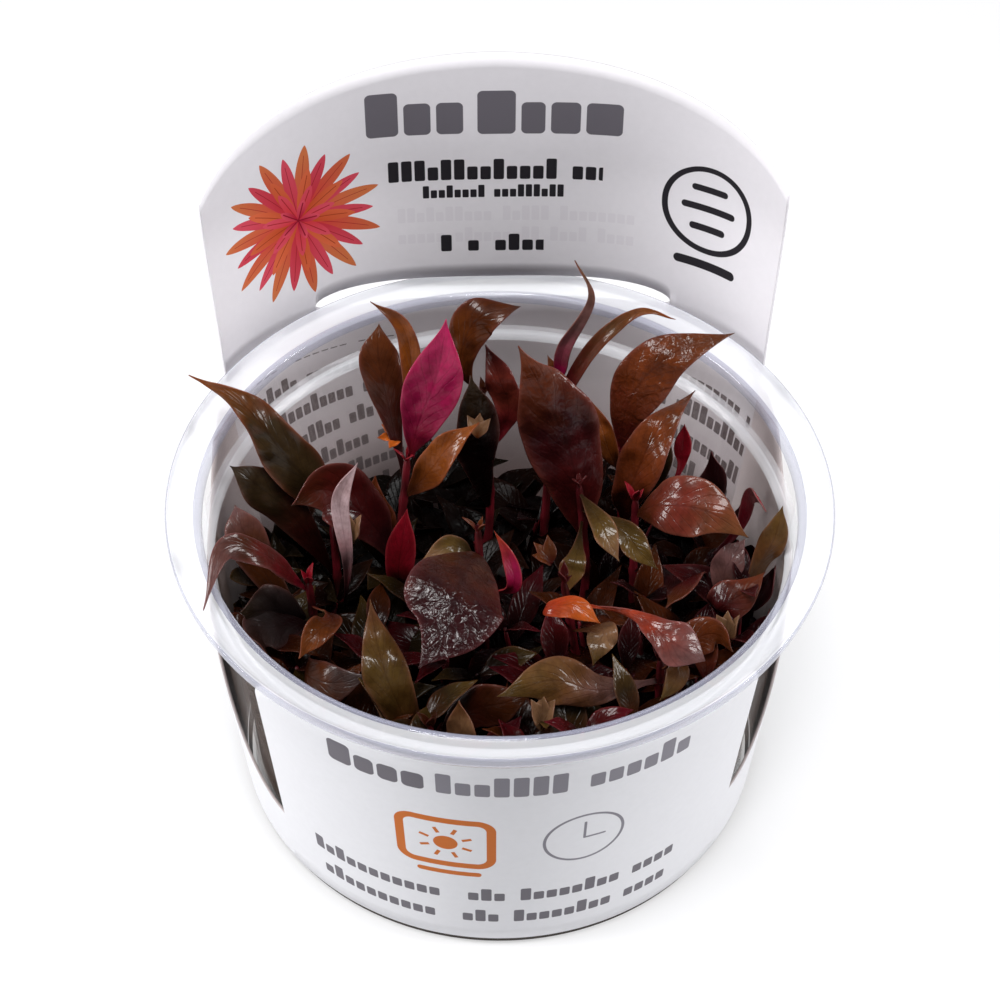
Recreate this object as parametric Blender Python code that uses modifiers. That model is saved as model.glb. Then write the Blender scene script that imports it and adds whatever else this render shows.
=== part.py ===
"""A small red aquarium plant in its clear culture cup, with a printed card sleeve round the cup.

Lengths in the tables are in millimetres and are scaled by MM when the shapes are made.
The cup's base rests on Z = 0 with its centre at the origin; the front of the cup is at -Y.
"""

from math import cos, log, pi, radians, sin, sqrt

import bmesh
import bpy
from mathutils import Matrix, Vector

MM = 0.001
GAP = 0.3

# Cup: a turned shell with a stacking step, a rolled bead at the mouth and a flat flange with a low lip
FOOT_RADIUS = 38.1
STEP_RADIUS = 40.4
NECK_RADIUS = 41.5
FLANGE_RADIUS = 45.4
STEP_HEIGHT = 45.2
FLANGE_HEIGHT = 51.5
LIP_TOP = 53.5
BEAD_TOP = 52.6
WALL = 1.0
CUP_SEGMENTS = 48

# Nutrient gel: a set disc that fills the cup's floor
GEL_TOP = 11.0
GEL_FOOT_RADIUS = 36.5
GEL_TOP_RADIUS = 37.1
GEL_SEGMENTS = 32

# Card sleeve, measured along the card from the middle of the back: a band, a front panel and a tall header
CARD = 0.4
CARD_FOOT = 2.0
CARD_FOOT_RADIUS = 38.75
CARD_NECK_RADIUS = 42.05
CARD_NECK = 48.0
HEADER_HALF = 45.0
HEADER_SHOULDER = 74.0
HEADER_TOP = 92.6
ARC_HALF = 46.0
ARC_FOOT = 77.0
SLOT_HALF = 27.0
SLOT_MIDDLE = 52.3
SLOT_RISE = 2.2
SLOT_DROP = 2.0
WING_TOP = 46.5
WING_END = 52.0
PANEL_TOP = 47.5
PANEL_CORNER = 5.0
NOTCH_LEFT = 94.5
NOTCH_RIGHT = 93.4
NOTCH_LEFT_HEIGHT = 13.5
NOTCH_RIGHT_HEIGHT = 16.5
HEADER_TURN_LOW = radians(66.5)
HEADER_TURN_HIGH = radians(58.5)
HEADER_BACK_LOW = 42.7
HEADER_BACK_HIGH = 45.0
FLARE_START = 20.0
CARD_TWIST = Matrix.Rotation(radians(1.75), 3, "Z")

# Plants: stems stand on the gel; leaves spring from them
STEM_RADIUS = 0.8
STEM_TOP_RADIUS = 0.6
STEM_FOOT = GEL_TOP + 2 * GAP
LEAF = 0.36
LONG_LEAF = 18.5
LONG_LEAF_ROWS = 8
SHORT_LEAF_ROWS = 6
FACING = Vector((0, -0.68, 0.73))
UP = Vector((0, 0, 1))

# Each stem: its foot on the gel (x, y), its middle and its top (x, y, z)
STEMS = {
    "stem_magenta": ((-12, 3), (-14.5, 6.5, 30), (-13, 9.5, 50)),
    "stem_back": ((-4, 9), (-1.5, 14.5, 32), (-2.5, 17.5, 55)),
    "stem_centre": ((9, 3), (12.5, 4.5, 28), (11, 6.5, 48)),
    "stem_ribbon": ((6, 14), (7, 19, 32), (8, 21, 55)),
    "stem_right_back": ((16, 10), (18, 13, 28), (17, 15.5, 45.5)),
    "stem_right": ((20, 1), (19.5, 4, 28), (19, 5.5, 46)),
    "stem_wall_right": ((29, -6), (32, -8, 24), (32, -8, 40)),
    "stem_front_right": ((11, -12), (11, -11.5, 28), (8.5, -12.5, 49)),
    "stem_front": ((0, -9), (-2, -7, 28), (-3, -4.5, 51)),
    "stem_left_back": ((-22, 5), (-23.5, 4, 26), (-24, 8.5, 45)),
    "stem_left": ((-22, -8), (-25.5, -7, 26), (-26, -9.5, 45)),
    "stem_front_low": ((-9, -23), (-9, -28, 24), (-9, -30, 40)),
    "stem_right_low": ((17, -21), (21.5, -20, 26), (21.5, -21, 43)),
}

# Colours that several leaves share
MAGENTA = (0.42, 0.02, 0.11)
CRIMSON = (0.30, 0.01, 0.02)
MAROON = (0.09, 0.008, 0.012)
WINE = (0.05, 0.006, 0.009)
UMBER = (0.07, 0.018, 0.007)
RUST = (0.17, 0.035, 0.012)
AMBER = (0.22, 0.06, 0.010)
OLIVE = (0.10, 0.055, 0.010)
BRONZE = (0.13, 0.055, 0.022)
MAUVE = (0.22, 0.12, 0.12)
ORANGE = (0.40, 0.08, 0.008)

# Each leaf: stem, height of its root on the stem, two points and the tip of its midrib (x, y, z), width, place of
# its widest part from root (0) to tip (1), turn of the blade at root and tip in degrees, fold of its halves, colour
LEAVES = {
    "leaf_rim_arch_left": ("stem_left_back", 42, (-29.4, 7.0, 50), (-36.0, 10.4, 57.4), (-43.3, 15, 60),
                           6.0, 0.40, 0, 10, -0.15, UMBER),
    "leaf_rim_hook_left": ("stem_left", 43, (-30.4, -12.8, 53.5), (-35.5, -15.5, 58), (-37.7, -23.8, 55.5),
                           3.8, 0.45, 10, -30, -0.20, MAUVE),
    "leaf_olive_left": ("stem_left_back", 30, (-29.7, 6.4, 41), (-34.6, 7.7, 46), (-38.2, 9.6, 47.5),
                        6.5, 0.50, 0, 0, -0.25, OLIVE),
    "leaf_pink_wall_left": ("stem_left", 24, (-33.5, 0, 36), (-36.2, 2.6, 42), (-37.4, 5.4, 44),
                            6.0, 0.55, 0, 0, 0.10, MAUVE),
    "leaf_grey_sliver": ("stem_left_back", 22, (-21.2, -2.5, 41), (-21.9, 0.5, 50), (-19.4, 3.2, 55),
                         2.6, 0.62, 0, 0, 0.30, MAUVE),
    "leaf_maroon_bowl": ("stem_magenta", 30, (-18.6, 4.4, 42), (-24.2, 4.6, 48), (-28.8, 1.6, 48),
                         9.0, 0.55, -15, 0, 0.40, MAROON),
    "leaf_magenta_tall": ("stem_magenta", 49.6, (-11.3, 9.0, 56.5), (-9.0, 10.4, 65), (-7.3, 13.0, 72.5),
                          9.2, 0.50, 10, 0, 0.18, MAGENTA),
    "leaf_brown_thin": ("stem_magenta", 49.5, (-12.8, 13.8, 59), (-14.2, 16.6, 67), (-17.9, 19.2, 70),
                        3.2, 0.52, 0, 20, 0.40, RUST),
    "leaf_brown_curl": ("stem_magenta", 46, (-15.8, 12.6, 55.5), (-17.2, 15.8, 62.5), (-16.8, 19.2, 66),
                        5.0, 0.60, 0, 0, -0.20, UMBER),
    "leaf_brown_nod": ("stem_back", 54, (-5.4, 15.4, 62.5), (-3.2, 16.2, 69.5), (2.7, 18.3, 70),
                       6.0, 0.62, -10, 0, -0.20, UMBER),
    "leaf_centre_big": ("stem_centre", 38, (10.1, 8.0, 50), (6.3, 10.0, 60.5), (2.3, 11.6, 69),
                        11.0, 0.44, 0, 0, -0.30, MAROON),
    "leaf_centre_red": ("stem_back", 44, (1.2, 16.3, 52), (-0.2, 17.0, 58), (-2.2, 19.4, 62),
                        4.6, 0.55, 10, 0, 0.20, MAROON),
    "leaf_centre_dark": ("stem_back", 34, (-3.0, 11.6, 47), (-3.4, 12.4, 55.5), (-4.2, 14.2, 61),
                         6.6, 0.50, -10, -10, -0.25, WINE),
    "leaf_amber_low": ("stem_magenta", 40, (-10.0, 5.4, 49), (-6.8, 5.6, 55), (-2.8, 7.6, 58.4),
                       4.8, 0.52, 0, 20, 0.25, AMBER),
    "leaf_ribbon_back": ("stem_ribbon", 54.5, (8.8, 20.4, 60.5), (12.4, 21.0, 69), (10.0, 23.4, 74),
                         2.6, 0.34, 20, -20, 0.30, MAGENTA),
    "leaf_curl_back": ("stem_ribbon", 49, (13.0, 19.6, 60), (18.8, 20.0, 67), (24.0, 18.6, 67.5),
                       2.5, 0.36, 0, 0, 0.25, RUST),
    "leaf_right_big": ("stem_right_back", 44, (18.0, 15.8, 54), (23.0, 17.4, 61.5), (32.8, 22.0, 62),
                       8.0, 0.50, 0, 0, -0.20, RUST),
    "leaf_amber_right": ("stem_right_back", 32, (18.6, 9.0, 44), (22.0, 11.5, 53), (27.6, 18.2, 54.5),
                         5.0, 0.50, 0, 20, 0.20, RUST),
    "leaf_right_flat": ("stem_right", 43, (22.4, 1.6, 48.5), (28.3, -1.0, 50), (34, -4, 48),
                        8.6, 0.50, 0, 0, -0.12, BRONZE),
    "leaf_red_spark": ("stem_right", 34, (25.6, 13.4, 42), (26.2, 15.2, 45.5), (26.3, 16.4, 49.5),
                       2.6, 0.72, 0, 0, 0.30, CRIMSON),
    "leaf_wall_right": ("stem_wall_right", 30, (35.6, -4.4, 41), (37.6, -3.2, 47), (38.6, -0.8, 51),
                        3.8, 0.62, 0, 0, -0.15, BRONZE),
    "leaf_mauve_right": ("stem_wall_right", 34, (31.2, -4.4, 39.5), (32.2, -2.8, 42.5), (34.2, -0.2, 43.5),
                         4.6, 0.55, 0, 0, 0.10, MAUVE),
    "leaf_rust_right": ("stem_wall_right", 37, (30.2, -10.6, 41), (33.2, -9.4, 42.5), (36.6, -5.8, 43),
                        5.6, 0.50, 0, 0, -0.15, RUST),
    "leaf_arc_right": ("stem_right", 22, (33.2, 6.4, 36), (35.8, 8.6, 43), (37.4, 4.0, 44.5),
                       2.4, 0.66, 0, 20, 0.20, CRIMSON),
    "leaf_broad_front": ("stem_front", 47, (-5.3, -13.6, 52.0), (-6.6, -21.9, 51.4), (-10.0, -26.7, 48.2),
                         14.6, 0.44, 0, 0, -0.20, WINE),
    "leaf_olive_front": ("stem_front_low", 28, (-13.6, -26.6, 41), (-15.8, -22.0, 46), (-17.0, -17.4, 50),
                         5.0, 0.48, 0, 0, -0.15, OLIVE),
    "leaf_tan_front": ("stem_front_low", 34, (-4.6, -32.0, 37), (-5.0, -30.8, 41), (-5.2, -29.4, 44.5),
                       4.2, 0.55, 0, 0, 0.15, BRONZE),
    "leaf_olive_low_right": ("stem_right_low", 38, (13.3, -26.5, 43), (7.3, -27.2, 46), (-0.3, -29.9, 46),
                             6.5, 0.50, 0, 10, -0.25, BRONZE),
    "leaf_flame_right": ("stem_front_right", 44, (17.4, -18.9, 49.5), (22.0, -24.6, 51), (26.6, -25.9, 48.5),
                         5.8, 0.66, 0, 0, -0.30, CRIMSON),
    "leaf_curl_right": ("stem_right_low", 41, (23.4, -24.0, 45.5), (22.9, -26.2, 44.5), (21.0, -27.4, 42),
                        3.0, 0.55, 0, 0, -0.20, RUST),
    "leaf_orange_mid": ("stem_front_right", 45.5, (6.0, -17.2, 48.5), (9.6, -18.4, 50.5), (13.2, -20.6, 49.5),
                        3.4, 0.66, 0, 20, -0.25, ORANGE),
    "leaf_olive_drop": ("stem_front_right", 38, (13.6, -17.6, 45), (13.2, -20.2, 44.5), (12.4, -22.0, 42.5),
                        4.0, 0.50, 0, 0, -0.20, OLIVE),
    "leaf_red_bud": ("stem_front", 39, (1.8, -10.6, 45), (1.2, -8.6, 49), (-0.8, -7.0, 52.5),
                     2.2, 0.50, 0, 0, 0.30, MAGENTA),
    "leaf_olive_star_a": ("stem_centre", 46, (13.6, -2.4, 49.5), (14.8, -5.6, 49), (16.2, -7.6, 47),
                          3.4, 0.50, 0, 0, 0.20, OLIVE),
    "leaf_olive_star_b": ("stem_centre", 43, (17.0, -1.6, 46.5), (19.2, -4.4, 45.5), (21.8, -6.0, 43.5),
                          3.8, 0.50, 0, 0, 0.15, OLIVE),
    "leaf_olive_star_c": ("stem_centre", 41, (10.6, -4.2, 44.5), (9.8, -6.4, 43.5), (9.2, -8.4, 41),
                          3.6, 0.60, 0, 0, 0.15, OLIVE),
    "leaf_olive_side": ("stem_front", 44.5, (-5.8, -5.6, 47), (-7.9, -6.2, 47), (-10.2, -6.8, 45.5),
                        2.8, 0.50, 0, 0, 0.25, OLIVE),
    "leaf_amber_left": ("stem_left", 39, (-22.4, -14.8, 43.5), (-24.4, -18.4, 44.5), (-26.6, -21.1, 42.5),
                        5.0, 0.60, 0, 20, 0.20, AMBER),
    "leaf_mauve_floor": ("stem_left", 28, (-26.0, -19.2, 37), (-22.0, -23.2, 40), (-17.2, -22.6, 41),
                         5.6, 0.55, 0, 0, -0.15, MAUVE),
    "leaf_grey_left": ("stem_left", 33, (-30.2, -9.0, 38), (-33.0, -11.6, 41), (-35.2, -13.2, 42.5),
                       7.0, 0.50, 0, 0, -0.15, WINE),
    "leaf_red_low": ("stem_magenta", 26, (-14.4, 0.2, 34), (-13.8, 0.6, 41), (-12.9, 2.0, 47),
                     4.4, 0.60, 0, 0, 0.25, CRIMSON),
}

# Young growth: three creeping runners on the gel, each with upright shoots that carry two crossed pairs of leaves
RUNNER_WIDTH = 1.8
RUNNER_HEIGHT = 1.4
SHOOT_WIDTH = 1.1
SHOOT_JOINT = 1.4
YOUNG_LEAF_WIDTH = 4.8
YOUNG_LEAF_DEPTH = 0.5
YOUNG_LEAF_LONGEST = 12.0
YOUNG_LEAF_SHORTEST = 3.0
YOUNG_LEAF_CLIMB = radians(42)
YOUNG_LEAF_ARCH = radians(45)
YOUNG_LEAF_REACH = 36.6

# Each runner: its shoots in turn as place on the gel (x, y), height of the tip and twist in degrees; then its colour
RUNNERS = {
    "young_shoots_left": (((-6, 23, 25, 20), (-17, 18, 27, -20), (-29, 9, 29, 10), (-31, 0.5, 27, 10),
                           (-28, -15, 33, -15)), UMBER),
    "young_shoots_front": (((-9, -5, 31, 25), (-16, -15, 33, 0), (-3, -17, 34, 20), (6, -21, 35, -20),
                            (3, -30, 36, 10)), MAROON),
    "young_shoots_right": (((27, -17, 34, 15), (20, -9, 33, -25), (28, 10, 28, 10), (22, 20, 27, -10),
                            (11, 25, 25, 25)), WINE),
}


def start_empty():
    for thing in list(bpy.data.objects):
        bpy.data.objects.remove(thing)


def new_object(name, mesh, collection):
    thing = bpy.data.objects.new(name, mesh)
    collection.objects.link(thing)
    return thing


def give_finish(thing, colour, roughness, alpha=1.0):
    material = bpy.data.materials.new(thing.name)
    material.use_nodes = True
    shader = material.node_tree.nodes["Principled BSDF"]
    shader.inputs["Base Color"].default_value = (*colour, 1)
    shader.inputs["Roughness"].default_value = roughness
    shader.inputs["Metallic"].default_value = 0
    shader.inputs["Alpha"].default_value = alpha
    material.diffuse_color = (*colour, alpha)
    thing.data.materials.append(material)


def smooth(share):
    """Eases from 0 to 1 with level ends."""
    share = min(1.0, max(0.0, share))
    return share * share * (3 - 2 * share)


def thicken(thing, thickness):
    solidify = thing.modifiers.new("Thickness", "SOLIDIFY")
    solidify.thickness = thickness * MM
    solidify.offset = 0


def turned(name, profile, segments, collection):
    """A body of revolution: the profile starts and ends on the axis and runs down its outer side."""
    mesh = bpy.data.meshes.new(name)
    points = [(radius * MM, 0, height * MM) for radius, height in profile]
    mesh.from_pydata(points, [(i, i + 1) for i in range(len(points) - 1)], [])
    thing = new_object(name, mesh, collection)
    screw = thing.modifiers.new("Turn", "SCREW")
    screw.steps = segments
    screw.render_steps = segments
    screw.use_merge_vertices = True
    screw.merge_threshold = 0.00005
    screw.use_smooth_shade = True
    return thing


def make_cup(collection):
    neck_inside = NECK_RADIUS - WALL
    profile = [
        (0, WALL),
        (FOOT_RADIUS - WALL - 1.0, WALL),
        (FOOT_RADIUS - WALL, WALL + 1.2),
        (STEP_RADIUS - WALL, STEP_HEIGHT - 0.5),
        (neck_inside - 0.1, STEP_HEIGHT + 0.4),
        (neck_inside, BEAD_TOP - 1.8),
        (neck_inside + 0.1, BEAD_TOP - 0.5),
        (neck_inside + 0.7, BEAD_TOP),
        (NECK_RADIUS + 0.4, BEAD_TOP - 0.4),
        (FLANGE_RADIUS - 1.2, FLANGE_HEIGHT + 0.8),
        (FLANGE_RADIUS - 0.5, LIP_TOP),
        (FLANGE_RADIUS, LIP_TOP - 0.1),
        (FLANGE_RADIUS - 0.3, FLANGE_HEIGHT),
        (FLANGE_RADIUS - 0.7, FLANGE_HEIGHT - 0.2),
        (NECK_RADIUS + 0.5, FLANGE_HEIGHT - 0.3),
        (NECK_RADIUS, FLANGE_HEIGHT - 0.9),
        (NECK_RADIUS - 0.1, STEP_HEIGHT + 0.9),
        (STEP_RADIUS, STEP_HEIGHT - 0.7),
        (FOOT_RADIUS, 1.2),
        (FOOT_RADIUS - 0.8, 0),
        (0, 0),
    ]
    cup = turned("cup", profile, CUP_SEGMENTS, collection)
    give_finish(cup, (0.86, 0.86, 0.9), 0.12, 0.3)


def make_gel(collection):
    floor = WALL + GAP + 0.1
    profile = [
        (0, GEL_TOP),
        (GEL_TOP_RADIUS - 0.8, GEL_TOP),
        (GEL_TOP_RADIUS, GEL_TOP - 0.6),
        (GEL_FOOT_RADIUS, floor + 1.4),
        (GEL_FOOT_RADIUS - 1.4, floor),
        (0, floor),
    ]
    gel = turned("nutrient_gel", profile, GEL_SEGMENTS, collection)
    give_finish(gel, (0.035, 0.018, 0.010), 0.2)


def sleeve_radius(height):
    share = (height - CARD_FOOT) / (CARD_NECK - CARD_FOOT)
    return CARD_FOOT_RADIUS + (CARD_NECK_RADIUS - CARD_FOOT_RADIUS) * min(1.0, share)


def header_point(along, height):
    """The header leans out of the round: it turns slowly in the middle and faster towards its sides."""
    rise = smooth((height - FLANGE_HEIGHT) / (HEADER_SHOULDER - FLANGE_HEIGHT))
    turn = HEADER_TURN_LOW + (HEADER_TURN_HIGH - HEADER_TURN_LOW) * rise
    back = HEADER_BACK_LOW + (HEADER_BACK_HIGH - HEADER_BACK_LOW) * rise
    steps = 24
    stride = along / steps
    x = 0.0
    y = back
    for i in range(steps):
        share = (i + 0.5) * stride / HEADER_HALF
        x += cos(turn * share * share) * stride
        y -= sin(turn * share * share) * abs(stride)
    return x, y


def card_point(along, height):
    """Bends the flat card: a cone round the cup below, opening out to the header's flatter curve at the back.

    The whole card sits a little turned on the cup.
    """
    angle = along / CARD_NECK_RADIUS
    radius = sleeve_radius(height)
    round_x = radius * sin(angle)
    round_y = radius * cos(angle)
    flare = smooth((height - FLARE_START) / (FLANGE_HEIGHT - FLARE_START))
    flare *= 1 - smooth((abs(along) - HEADER_HALF) / 25)
    if flare == 0:
        return CARD_TWIST @ Vector((round_x, round_y, height)) * MM
    flat_x, flat_y = header_point(along, height)
    x = round_x + (flat_x - round_x) * flare
    y = round_y + (flat_y - round_y) * flare
    return CARD_TWIST @ Vector((x, y, height)) * MM


def slot_curve(along):
    share = min(1.0, abs(along) / SLOT_HALF)
    return sqrt(max(0.0, 1 - share**6))


def slot_low(along):
    beyond = smooth((abs(along) - SLOT_HALF) / (HEADER_HALF - SLOT_HALF))
    return SLOT_MIDDLE - SLOT_DROP * slot_curve(along) - (SLOT_MIDDLE - WING_TOP) * beyond


def slot_high(along):
    beyond = smooth((abs(along) - SLOT_HALF) / (HEADER_HALF - SLOT_HALF))
    return SLOT_MIDDLE + SLOT_RISE * slot_curve(along) + 4 * beyond


def header_top(along):
    share = abs(along) / ARC_HALF
    return ARC_FOOT + (HEADER_TOP - ARC_FOOT) * (1 - share**1.74) ** 0.77


def side_top(along):
    """Upper edge beside the header: wing, notch and front panel, with rounded corners."""
    right = along > 0
    notch = NOTCH_RIGHT if right else NOTCH_LEFT
    notch_height = NOTCH_RIGHT_HEIGHT if right else NOTCH_LEFT_HEIGHT
    place = abs(along)
    if place <= notch:
        fall = smooth((place - WING_END) / (notch - WING_END))
        return WING_TOP + (notch_height - WING_TOP) * fall
    inside = place - notch
    if inside < PANEL_CORNER:
        dip = PANEL_CORNER - sqrt(PANEL_CORNER**2 - (PANEL_CORNER - inside) ** 2)
        return PANEL_TOP - dip
    return PANEL_TOP


def card_patch(shape, alongs, rows, low, high):
    """A grid over part of the flat card, bent into place. low and high give its edges at each place along."""
    columns = len(alongs) - 1
    made = bmesh.ops.create_grid(shape, x_segments=columns, y_segments=rows, size=0.5)
    for vert in made["verts"]:
        column = round((vert.co.x + 0.5) * columns)
        share = vert.co.y + 0.5
        along = alongs[column]
        vert.co = card_point(along, low(along) + (high(along) - low(along)) * share)


def spread(first, last, count):
    return [first + (last - first) * i / count for i in range(count + 1)]


def make_card(collection):
    half_round = pi * CARD_NECK_RADIUS
    shape = bmesh.new()
    slot = spread(-SLOT_HALF, SLOT_HALF, 14)
    slot = [slot[0], -SLOT_HALF * 0.97, *slot[1:-1], SLOT_HALF * 0.97, slot[-1]]
    left_leg = spread(-HEADER_HALF, -SLOT_HALF, 6)
    left_leg.insert(1, -HEADER_HALF * 0.985)
    right_leg = [-along for along in reversed(left_leg)]
    back = left_leg[:-1] + slot + right_leg[1:]
    card_patch(shape, back, 3, lambda along: CARD_FOOT, slot_low)
    card_patch(shape, back, 3, slot_high, header_top)
    card_patch(shape, left_leg, 1, slot_low, slot_high)
    card_patch(shape, right_leg, 1, slot_low, slot_high)
    for sign, notch in ((-1, NOTCH_LEFT), (1, NOTCH_RIGHT)):
        wing = spread(HEADER_HALF, notch, 9)
        corner = [notch + 0.05, notch + 0.6, notch + 2.0, notch + PANEL_CORNER]
        panel = spread(notch + PANEL_CORNER, half_round, 7)
        side = [sign * along for along in wing + corner + panel[1:]]
        card_patch(shape, side, 3, lambda along: CARD_FOOT, side_top)
    bmesh.ops.remove_doubles(shape, verts=shape.verts, dist=0.00002)
    bmesh.ops.dissolve_degenerate(shape, edges=shape.edges, dist=0.00002)
    bmesh.ops.recalc_face_normals(shape, faces=shape.faces)
    mesh = bpy.data.meshes.new("label_card")
    shape.to_mesh(mesh)
    shape.free()
    card = new_object("label_card", mesh, collection)
    thicken(card, CARD)
    give_finish(card, (0.82, 0.79, 0.84), 0.45)


def through(points, share):
    """A smooth curve through its points, share running from 0 to 1 along it."""
    spans = len(points) - 1
    place = min(share * spans, spans - 1e-9)
    i = int(place)
    t = place - i
    before = points[i - 1] if i > 0 else 2 * points[0] - points[1]
    start = points[i]
    end = points[i + 1]
    after = points[i + 2] if i + 2 <= spans else 2 * points[-1] - points[-2]
    bend = 2 * before - 5 * start + 4 * end - after
    turn = 3 * start - before - 3 * end + after
    return 0.5 * (2 * start + (end - before) * t + bend * t * t + turn * t * t * t)


def stem_points(name):
    foot, middle, top = STEMS[name]
    return [Vector((*foot, STEM_FOOT)), Vector(middle), Vector(top)]


def stem_at_height(name, height):
    points = stem_points(name)
    low = 0.0
    high = 1.0
    for _ in range(30):
        share = (low + high) / 2
        if through(points, share).z < height:
            low = share
        else:
            high = share
    return through(points, low)


def make_stem(name, collection):
    curve = bpy.data.curves.new(name, "CURVE")
    curve.dimensions = "3D"
    curve.bevel_depth = STEM_RADIUS * MM
    curve.bevel_resolution = 1
    curve.use_fill_caps = True
    spline = curve.splines.new("POLY")
    rings = 5
    spline.points.add(rings)
    for i, point in enumerate(spline.points):
        share = i / rings
        point.co = (*(through(stem_points(name), share) * MM), 1)
        point.radius = 1 + (STEM_TOP_RADIUS / STEM_RADIUS - 1) * share
    stem = bpy.data.objects.new(name, curve)
    collection.objects.link(stem)
    give_finish(stem, (0.12, 0.02, 0.015), 0.35)


def leaf_outline(share, belly):
    """Half-width of a blade, 1 at its widest part and drawn out towards root and tip."""
    return max(0.07, sin(pi * share ** (log(0.5) / log(belly))) ** 1.05)


def make_leaf(name, collection):
    stem, root_height, low, high, tip, width, belly, turn_root, turn_tip, fold, colour = LEAVES[name]
    axis = stem_at_height(stem, root_height)
    away = (Vector(low) - axis) * Vector((1, 1, 0))
    root = axis + away.normalized() * (STEM_RADIUS + GAP + LEAF)
    midrib = [root, Vector(low), Vector(high), Vector(tip)]
    sideways = (midrib[3] - midrib[0]).cross(FACING).normalized()
    rows = LONG_LEAF_ROWS if (midrib[3] - midrib[0]).length > LONG_LEAF else SHORT_LEAF_ROWS
    shape = bmesh.new()
    made = bmesh.ops.create_grid(shape, x_segments=2, y_segments=rows, size=0.5)
    for vert in made["verts"]:
        share = vert.co.y + 0.5
        side = round(vert.co.x * 2)
        point = through(midrib, share)
        ahead = (through(midrib, min(1, share + 0.02)) - through(midrib, max(0, share - 0.02))).normalized()
        across = (sideways - ahead * sideways.dot(ahead)).normalized()
        up = across.cross(ahead)
        turn = radians(turn_root + (turn_tip - turn_root) * share)
        reach = side * width / 2 * leaf_outline(share, belly)
        over = across * cos(turn) + up * sin(turn)
        lift = up * cos(turn) - across * sin(turn)
        vert.co = (point + over * reach + lift * fold * abs(reach)) * MM
    mesh = bpy.data.meshes.new(name)
    shape.to_mesh(mesh)
    shape.free()
    leaf = new_object(name, mesh, collection)
    thicken(leaf, LEAF)
    give_finish(leaf, colour, 0.25)


def grown_places():
    """Points along the stems and leaves, each with the room it takes, which the young leaves keep clear of."""
    places = []
    for name in STEMS:
        places += [(through(stem_points(name), i / 30), STEM_RADIUS) for i in range(31)]
    for stem, root_height, low, high, tip, width, belly, *_ in LEAVES.values():
        midrib = [stem_at_height(stem, root_height), Vector(low), Vector(high), Vector(tip)]
        for i in range(1, 12):
            share = i / 12
            places.append((through(midrib, share), width / 2 * leaf_outline(share, belly)))
    for shoots, _ in RUNNERS.values():
        for x, y, top, _ in shoots:
            places += [(Vector((x, y, height)), SHOOT_WIDTH / 2) for height in range(round(GEL_TOP), top)]
    return places


def young_midrib(root, outward, length):
    """Root, middle and tip of a young leaf that climbs from its shoot and arches over."""
    low_slope = YOUNG_LEAF_CLIMB
    high_slope = YOUNG_LEAF_CLIMB - YOUNG_LEAF_ARCH
    middle = root + (outward * cos(low_slope) + UP * sin(low_slope)) * length / 2
    tip = middle + (outward * cos(high_slope) + UP * sin(high_slope)) * length / 2
    return root, middle, tip


def young_length(root, outward, taken):
    """The longest a young leaf can grow here without meeting the wall, a stem or another leaf, or nothing."""
    length = YOUNG_LEAF_LONGEST
    while length >= YOUNG_LEAF_SHORTEST:
        root, middle, tip = young_midrib(root, outward, length)
        samples = [(root.lerp(middle, 0.5), 0.25), (middle, 0.5), (middle.lerp(tip, 0.5), 0.25), (tip, 0.1)]
        samples = [(point, share * YOUNG_LEAF_WIDTH) for point, share in samples]
        inside = Vector((tip.x, tip.y)).length < YOUNG_LEAF_REACH
        if inside and all((point - other).length > room + other_room + GAP
                          for point, room in samples for other, other_room in taken
                          if (other - root).length > SHOOT_WIDTH * 1.5):
            return length, samples
        length -= 0.5
    return None


def push(shape, face, middle, right, up, width, depth):
    """Extrudes a face to a new middle, as a rectangle along right and up. Returns it and the sides it leaves."""
    face = bmesh.ops.extrude_discrete_faces(shape, faces=[face])["faces"][0]
    old_middle = face.calc_center_median()
    for vert in face.verts:
        from_middle = vert.co - old_middle
        a = width / 2 if from_middle.dot(right) > 0 else -width / 2
        b = depth / 2 if from_middle.dot(up) > 0 else -depth / 2
        vert.co = middle + right * a + up * b
    return face, [side for edge in face.edges for side in edge.link_faces if side is not face]


def add_young_leaf(shape, side, outward, taken):
    root = side.calc_center_median()
    found = young_length(root, outward, taken)
    if found is None:
        return
    length, samples = found
    taken += samples
    root, middle, tip = young_midrib(root, outward, length)
    across = UP.cross(outward)
    lift = across.cross(middle - root).normalized()
    lift = lift if lift.z > 0 else -lift
    blade, _ = push(shape, side, middle, across, lift, YOUNG_LEAF_WIDTH, YOUNG_LEAF_DEPTH)
    push(shape, blade, tip, across, UP, 0.6, 0.35)


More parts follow.
